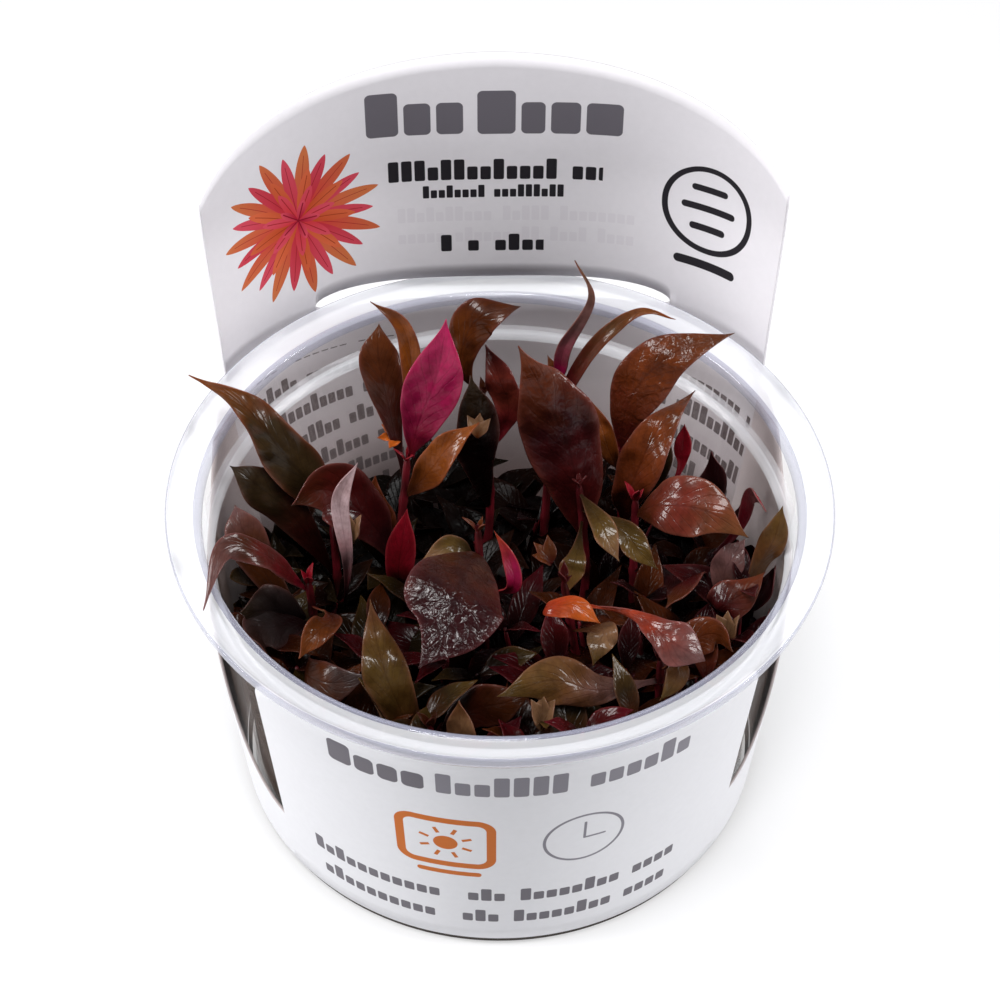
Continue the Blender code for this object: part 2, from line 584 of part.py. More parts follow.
def make_runner(name, collection, taken):
    """A creeping stem on the gel with upright shoots, all pushed out of one strip so that it stays one body."""
    shoots, colour = RUNNERS[name]
    places = [Vector((x, y, GEL_TOP + 2 * GAP)) for x, y, _, _ in shoots]
    shape = bmesh.new()
    made = bmesh.ops.create_grid(shape, x_segments=2 * len(places) - 1, y_segments=1, size=0.5)
    frames = []
    for i, place in enumerate(places):
        ahead = (places[min(i + 1, len(places) - 1)] - places[max(i - 1, 0)]).normalized()
        frames.append((place, ahead, UP.cross(ahead)))
    for vert in made["verts"]:
        column = round((vert.co.x + 0.5) * (2 * len(places) - 1))
        place, ahead, aside = frames[column // 2]
        along = RUNNER_WIDTH / 2 if column % 2 else -RUNNER_WIDTH / 2
        vert.co = place + ahead * along + aside * (RUNNER_WIDTH if vert.co.y > 0 else -RUNNER_WIDTH) / 2
    faces = list(shape.faces)
    grown = bmesh.ops.extrude_face_region(shape, geom=faces)["geom"]
    tops = [part for part in grown if isinstance(part, bmesh.types.BMFace)]
    bmesh.ops.translate(shape, verts=[part for part in grown if isinstance(part, bmesh.types.BMVert)],
                        vec=UP * RUNNER_HEIGHT)
    feet = [min(tops, key=lambda face: (face.calc_center_median() - place).length) for place in places]
    for face, (x, y, top, twist), (place, ahead, aside) in zip(feet, shoots, frames):
        foot = GEL_TOP + 2 * GAP + RUNNER_HEIGHT
        turn = radians(twist)
        right = ahead * cos(turn) + aside * sin(turn)
        up = aside * cos(turn) - ahead * sin(turn)
        lower_joint = foot + (top - foot) * 0.55
        for height, directions in ((lower_joint, (right, -right)), (top - SHOOT_JOINT, (up, -up))):
            middle = Vector((x, y, height))
            face, _ = push(shape, face, middle, right, up, SHOOT_WIDTH, SHOOT_WIDTH)
            middle = Vector((x, y, height + SHOOT_JOINT))
            face, sides = push(shape, face, middle, right, up, SHOOT_WIDTH, SHOOT_WIDTH)
            facing = [max(sides, key=lambda side: (side.calc_center_median() - middle).dot(outward))
                      for outward in directions]
            for side, outward in zip(facing, directions):
                add_young_leaf(shape, side, outward, taken)
        push(shape, face, Vector((x, y, top + 1)), right, up, SHOOT_WIDTH / 2, SHOOT_WIDTH / 2)
    bmesh.ops.recalc_face_normals(shape, faces=shape.faces)
    bmesh.ops.scale(shape, verts=shape.verts, vec=(MM, MM, MM))
    mesh = bpy.data.meshes.new(name)
    shape.to_mesh(mesh)
    shape.free()
    give_finish(new_object(name, mesh, collection), colour, 0.3)


start_empty()
plant = bpy.data.collections.new("red_plant_in_cup")
bpy.context.scene.collection.children.link(plant)
make_cup(plant)
make_gel(plant)
make_card(plant)
for stem_name in STEMS:
    make_stem(stem_name, plant)
for leaf_name in LEAVES:
    make_leaf(leaf_name, plant)
room_taken = grown_places()
for runner_name in RUNNERS:
    make_runner(runner_name, plant, room_taken)
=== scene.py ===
import random
from math import cos, log, pi, radians, sin, sqrt

import bmesh
import bpy
from mathutils import Matrix, Vector, noise


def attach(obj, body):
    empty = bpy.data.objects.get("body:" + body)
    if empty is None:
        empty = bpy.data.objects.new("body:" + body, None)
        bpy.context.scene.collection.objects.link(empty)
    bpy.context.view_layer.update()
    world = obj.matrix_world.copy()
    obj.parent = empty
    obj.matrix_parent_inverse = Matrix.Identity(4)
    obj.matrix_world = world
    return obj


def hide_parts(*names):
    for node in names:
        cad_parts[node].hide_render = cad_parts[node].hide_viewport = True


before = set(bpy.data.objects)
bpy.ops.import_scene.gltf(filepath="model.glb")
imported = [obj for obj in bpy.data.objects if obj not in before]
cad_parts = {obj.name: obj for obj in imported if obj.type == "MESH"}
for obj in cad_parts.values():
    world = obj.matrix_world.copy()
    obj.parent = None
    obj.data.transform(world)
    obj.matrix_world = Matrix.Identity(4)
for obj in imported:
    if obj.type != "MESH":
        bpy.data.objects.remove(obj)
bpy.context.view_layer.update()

# Studio: the whole object stands on a pale light table in even white light.
# The camera looks at the middle of the cup's mouth from 47 degrees up, as a short telephoto does.
MM = 0.001
LOOK_AT = Vector((0, 0, 51)) * MM
LOOK_DOWN = radians(47.0)
LOOK_FROM = 280.7 * MM
LENS = 73.9
ROLL = radians(0.3)

bpy.context.scene.view_settings.view_transform = "Standard"
camera = bpy.data.objects.new("camera", bpy.data.cameras.new("camera"))
camera.data.lens = LENS
camera.data.clip_start = 0.01
camera.location = LOOK_AT + Vector((0, -cos(LOOK_DOWN), sin(LOOK_DOWN))) * LOOK_FROM
camera.rotation_mode = "ZYX"
camera.rotation_euler = (pi / 2 - LOOK_DOWN, 0, ROLL)
bpy.context.scene.collection.objects.link(camera)
bpy.context.scene.camera = camera

sky = bpy.data.worlds.new("white room")
sky.use_nodes = True
room_light = sky.node_tree.nodes["Background"]
room_light.inputs["Color"].default_value = (1, 1, 1, 1)
room_light.inputs["Strength"].default_value = 0.06
bpy.context.scene.world = sky

# Each softbox: place, width and power
SOFTBOXES = {
    "softbox_top": ((-0.05, -0.14, 0.74), 0.26, 5.2),
    "softbox_left": ((-0.74, -0.06, 0.38), 0.24, 5.4),
    "softbox_right": ((0.74, -0.06, 0.40), 0.24, 4.6),
}
for box_name, (place, size, power) in SOFTBOXES.items():
    lamp = bpy.data.lights.new(box_name, "AREA")
    lamp.size = size
    lamp.energy = power
    softbox = bpy.data.objects.new(box_name, lamp)
    softbox.location = place
    softbox.rotation_euler = (LOOK_AT - Vector(place)).to_track_quat("-Z", "Y").to_euler()
    bpy.context.scene.collection.objects.link(softbox)


class Finish:
    """A material in the making: its shader, and short ways to add nodes and to feed their sockets."""

    def __init__(self, name, settings):
        self.material = bpy.data.materials.new(name)
        self.material.use_nodes = True
        self.shader = self.material.node_tree.nodes["Principled BSDF"]
        self.shade(settings)

    def shade(self, settings):
        """Feeds the shader itself."""
        self.feed(self.shader, settings)

    def feed(self, node, sockets):
        """Gives each socket a fixed value, or joins it to the output of another node."""
        for socket, value in sockets.items():
            if isinstance(value, bpy.types.NodeSocket):
                self.material.node_tree.links.new(value, node.inputs[socket])
            elif node.inputs[socket].type == "RGBA":
                node.inputs[socket].default_value = (*value, 1)
            else:
                node.inputs[socket].default_value = value

    def node(self, kind, sockets, **settings):
        node = self.material.node_tree.nodes.new("ShaderNode" + kind)
        for setting, value in settings.items():
            setattr(node, setting, value)
        self.feed(node, sockets)
        return node

    def maths(self, operation, *values):
        return self.node("Math", dict(enumerate(values)), operation=operation).outputs[0]

    def vector(self, operation, *values):
        node = self.node("VectorMath", dict(enumerate(values)), operation=operation)
        return node.outputs["Value" if operation == "LENGTH" else "Vector"]

    def axes(self, vector):
        return self.node("SeparateXYZ", {"Vector": vector}).outputs

    def flat_place(self):
        """The place on the piece's own flat pattern."""
        return self.node("UVMap", {}).outputs["UV"]

    def solid_place(self):
        """The place in the piece, so that a pattern stays fixed to it."""
        return self.node("TexCoord", {}).outputs["Object"]

    def clouds(self, scale, detail=2, distortion=0):
        """Soft noise between 0 and 1."""
        sockets = {"Vector": self.solid_place(), "Scale": scale, "Detail": detail, "Distortion": distortion}
        return self.node("TexNoise", sockets).outputs["Fac"]

    def mix(self, share, first, second, blend="MIX"):
        sockets = {"Factor": share, "A": first, "B": second}
        return self.node("Mix", sockets, data_type="RGBA", blend_type=blend).outputs["Result"]

    def ramp(self, share, first, last, *between):
        """Runs through colours, each stop given by its place from 0 to 1 and its colour."""
        node = self.node("ValToRGB", {"Fac": share})
        stops = node.color_ramp.elements
        for stop, (position, colour) in zip(stops, (first, last)):
            stop.position = position
            stop.color = (*colour, 1)
        for position, colour in between:
            stops.new(position).color = (*colour, 1)
        return node.outputs["Color"]

    def fade(self, value, start, end, first=0, last=1, way="SMOOTHSTEP"):
        """Goes from first to last while the value goes from start to end."""
        sockets = {"Value": value, "From Min": start, "From Max": end, "To Min": first, "To Max": last}
        return self.node("MapRange", sockets, interpolation_type=way).outputs["Result"]

    def relief(self, height, strength, depth):
        """Fine bumps, their depth in millimetres."""
        sockets = {"Height": height, "Strength": strength, "Distance": depth * MM}
        return self.node("Bump", sockets).outputs["Normal"]


def object_from(shape, name):
    """Makes the finished bmesh an object of its own."""
    mesh = bpy.data.meshes.new(name)
    shape.to_mesh(mesh)
    shape.free()
    mesh.shade_smooth()
    thing = bpy.data.objects.new(name, mesh)
    bpy.context.scene.collection.objects.link(thing)
    return thing


table_shape = bmesh.new()
bmesh.ops.create_circle(table_shape, cap_ends=True, segments=96, radius=4)
table = object_from(table_shape, "table")
table_finish = Finish("lit white table", {
    "Base Color": (0.38, 0.38, 0.39),
    "Roughness": 0.6,
    "Emission Color": (1, 1, 1),
    "Emission Strength": 0.52,
})
table.data.materials.append(table_finish.material)

# Cup: one thin moulding of clear plastic, tapered, with a stacking step under its mouth. The mouth is
# rolled to a bead, from which a flat flange runs out to a low lip, where the lid was sealed. Moisture
# mists the wall at the back. At the front the wall is tinted brown, partly moisture and partly painted
# shade of the dark plants behind it. The foot is painted dark, as painted contact shadow and the gel behind
# it.
WALL = 1.0
FOOT_RADIUS = 38.1
FOOT_BAND = 2.2
FOOT_BAND_RADIUS = FOOT_RADIUS + 0.35
STEP_RADIUS = 40.4
NECK_RADIUS = 41.5
FLANGE_RADIUS = 45.4
STEP_HEIGHT = 45.2
FLANGE_HEIGHT = 51.5
LIP_TOP = 53.5
BEAD_TOP = 52.6
NECK_INSIDE = NECK_RADIUS - WALL
GEL_TOP = 11.0
CUP_PROFILE = [
    (0, WALL),
    (FOOT_RADIUS - WALL - 1.0, WALL),
    (FOOT_RADIUS - WALL, WALL + 1.2),
    (STEP_RADIUS - WALL, STEP_HEIGHT - 0.5),
    (NECK_INSIDE - 0.1, STEP_HEIGHT + 0.4),
    (NECK_INSIDE, BEAD_TOP - 1.8),
    (NECK_INSIDE + 0.1, BEAD_TOP - 0.5),
    (NECK_INSIDE + 0.7, BEAD_TOP),
    (NECK_RADIUS + 0.4, BEAD_TOP - 0.4),
    (FLANGE_RADIUS - 1.2, FLANGE_HEIGHT + 0.8),
    (FLANGE_RADIUS - 0.5, LIP_TOP),
    (FLANGE_RADIUS, LIP_TOP - 0.1),
    (FLANGE_RADIUS - 0.3, FLANGE_HEIGHT),
    (FLANGE_RADIUS - 0.7, FLANGE_HEIGHT - 0.2),
    (NECK_RADIUS + 0.5, FLANGE_HEIGHT - 0.3),
    (NECK_RADIUS, FLANGE_HEIGHT - 0.9),
    (NECK_RADIUS - 0.1, STEP_HEIGHT + 0.9),
    (STEP_RADIUS, STEP_HEIGHT - 0.7),
    (FOOT_BAND_RADIUS, FOOT_BAND),
    (FOOT_BAND_RADIUS, 0.35),
    (FOOT_RADIUS - 0.1, 0),
    (0, 0),
]


def softened(profile, most):
    """Cuts each corner of a profile by up to a quarter of its sides, and never by more than most."""
    points = [Vector(point) for point in profile]
    eased = [points[0]]
    for before, corner, after in zip(points, points[1:], points[2:]):
        back = before - corner
        forth = after - corner
        eased.append(corner + back * min(0.25, most / back.length))
        eased.append(corner + forth * min(0.25, most / forth.length))
    eased.append(points[-1])
    return eased


TOUCHING = 0.001 * MM


def lathe(name, profile, steps):
    shape = bmesh.new()
    verts = [shape.verts.new((radius * MM, 0, height * MM)) for radius, height in profile]
    edges = [shape.edges.new(pair) for pair in zip(verts, verts[1:])]
    bmesh.ops.spin(shape, geom=verts + edges, cent=(0, 0, 0), axis=(0, 0, 1), angle=2 * pi,
                   steps=steps, use_merge=True)
    bmesh.ops.remove_doubles(shape, verts=shape.verts, dist=TOUCHING)
    bmesh.ops.recalc_face_normals(shape, faces=shape.faces)
    return object_from(shape, name)


def moulded(name, colour, roughness, transmission, opacity, coat):
    """Clear plastic with the faint ripples that its mould leaves; thick parts are hazier."""
    plastic = Finish(name, {
        "Base Color": colour,
        "Roughness": roughness,
        "IOR": 1.12,
        "Transmission Weight": transmission,
        "Alpha": opacity,
        "Coat Weight": coat,
        "Coat Roughness": 0.04,
    })
    plastic.shade({"Normal": plastic.relief(plastic.clouds(45), 0.03, 0.3)})
    return plastic


# The cup's plastics: name, colour, roughness, transmission, opacity and coat
CLEAR_WALL, HAZY_FLANGE, THICK_BEAD, MISTED_WALL, DARK_FOOT, WET_SHADED_WALL = range(6)
CUP_PLASTICS = [
    moulded("clear wall", (0.97, 0.95, 0.96), 0.06, 0.90, 0.07, 0.15),
    moulded("hazy flange", (0.89, 0.90, 0.94), 0.18, 0.05, 0.43, 0.3),
    # Painted shade: the bead's blue-grey stands in for the darker surroundings that the thick rolled
    # plastic refracts and reflects.
    moulded("thick bead", (0.40, 0.41, 0.52), 0.10, 0.25, 0.55, 0.5),
    moulded("misted wall", (0.72, 0.60, 0.58), 0.20, 0.30, 0.16, 0.20),
    # Painted shadow: the foot is painted dark for its contact shadow and the gel seen through it.
    moulded("foot painted dark with shadow and gel", (0.030, 0.018, 0.013), 0.45, 0.0, 0.90, 0.0),
    # Painted shade: this wall is tinted brown for the dark plants seen through it, as well as for its mist.
    moulded("wall wet and painted with the plants' shade", (0.15, 0.095, 0.072), 0.22, 0.0, 0.5, 0.1),
]
# Painted shade: the brown tint is most opaque at the front and fades towards the back.
WET_SHADE_FRONT = -4.0
WET_SHADE_BACK = 22.0
WET_SHADE_OPACITY = 0.26
FAINT_SHADE_OPACITY = 0.07
wet_shaded_wall = CUP_PLASTICS[WET_SHADED_WALL]
wet_shade_place = wet_shaded_wall.axes(wet_shaded_wall.solid_place())["Y"]
wet_shade_share = wet_shaded_wall.fade(wet_shade_place, WET_SHADE_FRONT * MM, WET_SHADE_BACK * MM, WET_SHADE_OPACITY, FAINT_SHADE_OPACITY, "LINEAR")
wet_shaded_wall.shade({"Alpha": wet_shade_share})


def plastic_at(centre, normal):
    """Which of the cup's plastics a face shows."""
    reach = centre.xy.length / MM
    height = centre.z / MM
    if height > FLANGE_HEIGHT - 0.6 and reach > NECK_INSIDE - 0.05:
        return HAZY_FLANGE if NECK_RADIUS + 0.1 < reach < FLANGE_RADIUS - 0.3 else THICK_BEAD
    # painted highlight: the stacking step gets the whitish flange plastic, so it shows as the light line
    # its gloss gives
    if abs(height - STEP_HEIGHT) < 0.7:
        return HAZY_FLANGE
    if centre.y > 0 and centre.dot(normal) < 0 and height > GEL_TOP:
        return MISTED_WALL
    # painted shadow: the foot band shows as dark contact shadow and gel
    if height < FOOT_BAND - 0.1 and reach > FOOT_RADIUS - 0.2:
        return DARK_FOOT
    # painted shade: the lower wall in front carries the brown tint of the plants behind it
    if height < STEP_HEIGHT and reach > FOOT_RADIUS and centre.y < WET_SHADE_BACK * MM:
        return WET_SHADED_WALL
    return CLEAR_WALL


cup = lathe("cup_moulding", softened(softened(CUP_PROFILE, 0.35), 0.12), 144)
for plastic in CUP_PLASTICS:
    cup.data.materials.append(plastic.material)
for face in cup.data.polygons:
    face.material_index = plastic_at(face.center, face.normal)
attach(cup, "root")
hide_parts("cup")

# Nutrient gel: a dark disc that was poured into the cup and set there. The stems stand in it.
# Its top is wet and almost level, a little higher where it clings to the wall.
GEL_TOP_RADIUS = 37.1
GEL_FOOT_RADIUS = 36.8
GEL_FLOOR = 1.2
GEL_PROFILE = [
    (0, GEL_TOP - 0.3),
    (GEL_TOP_RADIUS - 6, GEL_TOP - 0.3),
    (GEL_TOP_RADIUS - 1.5, GEL_TOP - 0.1),
    (GEL_TOP_RADIUS, GEL_TOP),
    (GEL_FOOT_RADIUS, GEL_FLOOR + 1.0),
    (GEL_FOOT_RADIUS - 0.9, GEL_FLOOR),
    (0, GEL_FLOOR),
]
gel_finish = Finish("dark gel", {"Roughness": 0.16})
stain = gel_finish.ramp(gel_finish.clouds(160, 4), (0, (0.010, 0.005, 0.003)), (1, (0.075, 0.042, 0.028)))
gel_finish.shade({"Base Color": stain})
gel = lathe("gel_disc", softened(GEL_PROFILE, 0.5), 96)
gel.data.materials.append(gel_finish.material)
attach(gel, "root")
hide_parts("nutrient_gel")

# Label card: one sheet of white card, die-cut and wrapped round the cup, its header standing up behind.
# The flange sits in the slot at the header's foot, and an open notch at each side leaves the wall in view.
# The marks are printed flat: places are in millimetres along the card and up from the table.
CARD = 0.4
CARD_FOOT = 2.0
CARD_FOOT_RADIUS = 38.75
CARD_NECK_RADIUS = 42.05
CARD_NECK = 48.0
HEADER_HALF = 45.0
HEADER_SHOULDER = 74.0
HEADER_TOP = 92.6
ARC_HALF = 46.0
ARC_FOOT = 77.0
ARC_LEAN = 1.74
ARC_ROUNDNESS = 0.77
SLOT_HALF = 27.0
SLOT_MIDDLE = 52.3
SLOT_RISE = 2.2
SLOT_DROP = 2.0
SLOT_OPENING = 4.0
WING_TOP = 46.5
WING_END = 52.0
PANEL_TOP = 47.5
PANEL_CORNER = 5.0
NOTCH_LEFT = 94.5
NOTCH_RIGHT = 93.4
NOTCH_LEFT_HEIGHT = 13.5
NOTCH_RIGHT_HEIGHT = 16.5
HEADER_TURN_LOW = radians(66.5)
HEADER_TURN_HIGH = radians(58.5)
HEADER_BACK_LOW = 42.7
HEADER_BACK_HIGH = 45.0
FLARE_START = 20.0
FLARE_FADE = 25.0
CARD_TWIST = Matrix.Rotation(radians(1.75), 3, "Z")
HALF_ROUND = pi * CARD_NECK_RADIUS
CARD_ROWS = 16


def smooth(share):
    share = min(1.0, max(0.0, share))
    return share * share * (3 - 2 * share)


def sleeve_radius(height):
    share = (height - CARD_FOOT) / (CARD_NECK - CARD_FOOT)
    return CARD_FOOT_RADIUS + (CARD_NECK_RADIUS - CARD_FOOT_RADIUS) * min(1.0, share)


def header_point(along, height):
    """The header leans out of the round: it turns slowly in the middle and faster towards its sides."""
    rise = smooth((height - FLANGE_HEIGHT) / (HEADER_SHOULDER - FLANGE_HEIGHT))
    turn = HEADER_TURN_LOW + (HEADER_TURN_HIGH - HEADER_TURN_LOW) * rise
    steps = 24
    stride = along / steps
    x = 0.0
    y = HEADER_BACK_LOW + (HEADER_BACK_HIGH - HEADER_BACK_LOW) * rise
    for i in range(steps):
        share = (i + 0.5) * stride / HEADER_HALF
        x += cos(turn * share * share) * stride
        y -= sin(turn * share * share) * abs(stride)
    return x, y


def card_point(along, height):
    """Bends the flat card: a cone round the cup, opening out to the header's flatter curve at the back.

    The whole card sits a little turned on the cup.
    """
    angle = along / CARD_NECK_RADIUS
    radius = sleeve_radius(height)
    round_x = radius * sin(angle)
    round_y = radius * cos(angle)
    flare = smooth((height - FLARE_START) / (FLANGE_HEIGHT - FLARE_START))
    flare *= 1 - smooth((abs(along) - HEADER_HALF) / FLARE_FADE)
    if flare == 0:
        return CARD_TWIST @ Vector((round_x, round_y, height)) * MM
    flat_x, flat_y = header_point(along, height)
    x = round_x + (flat_x - round_x) * flare
    y = round_y + (flat_y - round_y) * flare
    return CARD_TWIST @ Vector((x, y, height)) * MM


def slot_curve(along):
    share = min(1.0, abs(along) / SLOT_HALF)
    return sqrt(max(0.0, 1 - share**6))


def slot_low(along):
    beyond = smooth((abs(along) - SLOT_HALF) / (HEADER_HALF - SLOT_HALF))
    return SLOT_MIDDLE - SLOT_DROP * slot_curve(along) - (SLOT_MIDDLE - WING_TOP) * beyond


def slot_high(along):
    beyond = smooth((abs(along) - SLOT_HALF) / (HEADER_HALF - SLOT_HALF))
    return SLOT_MIDDLE + SLOT_RISE * slot_curve(along) + SLOT_OPENING * beyond


def header_top(along):
    share = abs(along) / ARC_HALF
    return ARC_FOOT + (HEADER_TOP - ARC_FOOT) * (1 - share**ARC_LEAN) ** ARC_ROUNDNESS


def side_top(along):
    """Upper edge beside the header: wing, notch and front panel, with rounded corners."""
    right = along > 0
    notch = NOTCH_RIGHT if right else NOTCH_LEFT
    notch_height = NOTCH_RIGHT_HEIGHT if right else NOTCH_LEFT_HEIGHT
    place = abs(along)
    if place <= notch:
        fall = smooth((place - WING_END) / (notch - WING_END))
        return WING_TOP + (notch_height - WING_TOP) * fall
    inside = place - notch
    if inside < PANEL_CORNER:
        dip = PANEL_CORNER - sqrt(PANEL_CORNER**2 - (PANEL_CORNER - inside) ** 2)
        return PANEL_TOP - dip
    return PANEL_TOP


def card_patch(shape, alongs, rows, low, high, face_kind):
    """A grid over part of the flat card, bent into place, with its place on the flat card as its UV."""
    flat = shape.loops.layers.uv.verify()
    columns = len(alongs) - 1
    made = bmesh.ops.create_grid(shape, x_segments=columns, y_segments=rows, size=0.5)
    sheet = {}
    for vert in made["verts"]:
        along = alongs[round((vert.co.x + 0.5) * columns)]
        height = low(along) + (high(along) - low(along)) * (vert.co.y + 0.5)
        sheet[vert] = (along, height)
        vert.co = card_point(along, height)
    for face in {face for vert in made["verts"] for face in vert.link_faces}:
        face.material_index = face_kind
        for loop in face.loops:
            along, height = sheet[loop.vert]
            if face_kind == PANEL_FACES:
                along = HALF_ROUND - along if along > 0 else -HALF_ROUND - along
            loop[flat].uv = (along / UV_SPAN + 0.5, height / UV_SPAN)


def spread(first, last, count):
    return [first + (last - first) * i / count for i in range(count + 1)]


UV_SPAN = 200.0
HEADER_FACES = 0
PANEL_FACES = 2
card_shape = bmesh.new()
slot = spread(-SLOT_HALF, SLOT_HALF, 40)
slot[1:1] = [-SLOT_HALF * 0.992, -SLOT_HALF * 0.975]
slot[-1:-1] = [SLOT_HALF * 0.975, SLOT_HALF * 0.992]
left_leg = spread(-HEADER_HALF, -SLOT_HALF, 16)
left_leg[1:1] = [-HEADER_HALF * 0.998, -HEADER_HALF * 0.991]
right_leg = [-along for along in reversed(left_leg)]
back = left_leg[:-1] + slot + right_leg[1:]
card_patch(card_shape, back, CARD_ROWS, lambda along: CARD_FOOT, slot_low, HEADER_FACES)
card_patch(card_shape, back, CARD_ROWS, slot_high, header_top, HEADER_FACES)
card_patch(card_shape, left_leg, 2, slot_low, slot_high, HEADER_FACES)
card_patch(card_shape, right_leg, 2, slot_low, slot_high, HEADER_FACES)
for sign, notch in ((-1, NOTCH_LEFT), (1, NOTCH_RIGHT)):
    wing = spread(HEADER_HALF, notch, 40)
    corner = [notch + step for step in (0.02, 0.1, 0.3, 0.7, 1.3, 2.2, 3.4, PANEL_CORNER)]
    panel = spread(notch + PANEL_CORNER, HALF_ROUND, 24)
    side = sorted(sign * along for along in wing + corner + panel[1:])
    card_patch(card_shape, side, CARD_ROWS, lambda along: CARD_FOOT, side_top, PANEL_FACES)
card_seam = 0.005 * MM
bmesh.ops.remove_doubles(card_shape, verts=card_shape.verts, dist=card_seam)
bmesh.ops.dissolve_degenerate(card_shape, edges=card_shape.edges, dist=card_seam)
card = object_from(card_shape, "card_sleeve")
board = card.modifiers.new("Board", "SOLIDIFY")
board.thickness = CARD * MM
board.offset = 0
board.material_offset = 1

WHITE = (0.73, 0.73, 0.76)
SHADED_WHITE = (0.72, 0.70, 0.735)
DAMP_SHADED_CARD = (0.16, 0.105, 0.100)
INSIDE_CARD = (0.50, 0.44, 0.44)
INK_BLACK = (0.020, 0.018, 0.022)
INK_WET = (0.045, 0.032, 0.036)
INK_GREY = (0.13, 0.12, 0.14)
INK_SOFT = (0.20, 0.19, 0.22)
INK_SHOWING = (0.68, 0.655, 0.695)
INK_ORANGE = (0.52, 0.120, 0.0)
INK_RED = (0.50, 0.030, 0.035)
INK_ROSE = (0.58, 0.065, 0.10)
BLOCK_CORNER = 0.8
INK_EDGE = 0.06


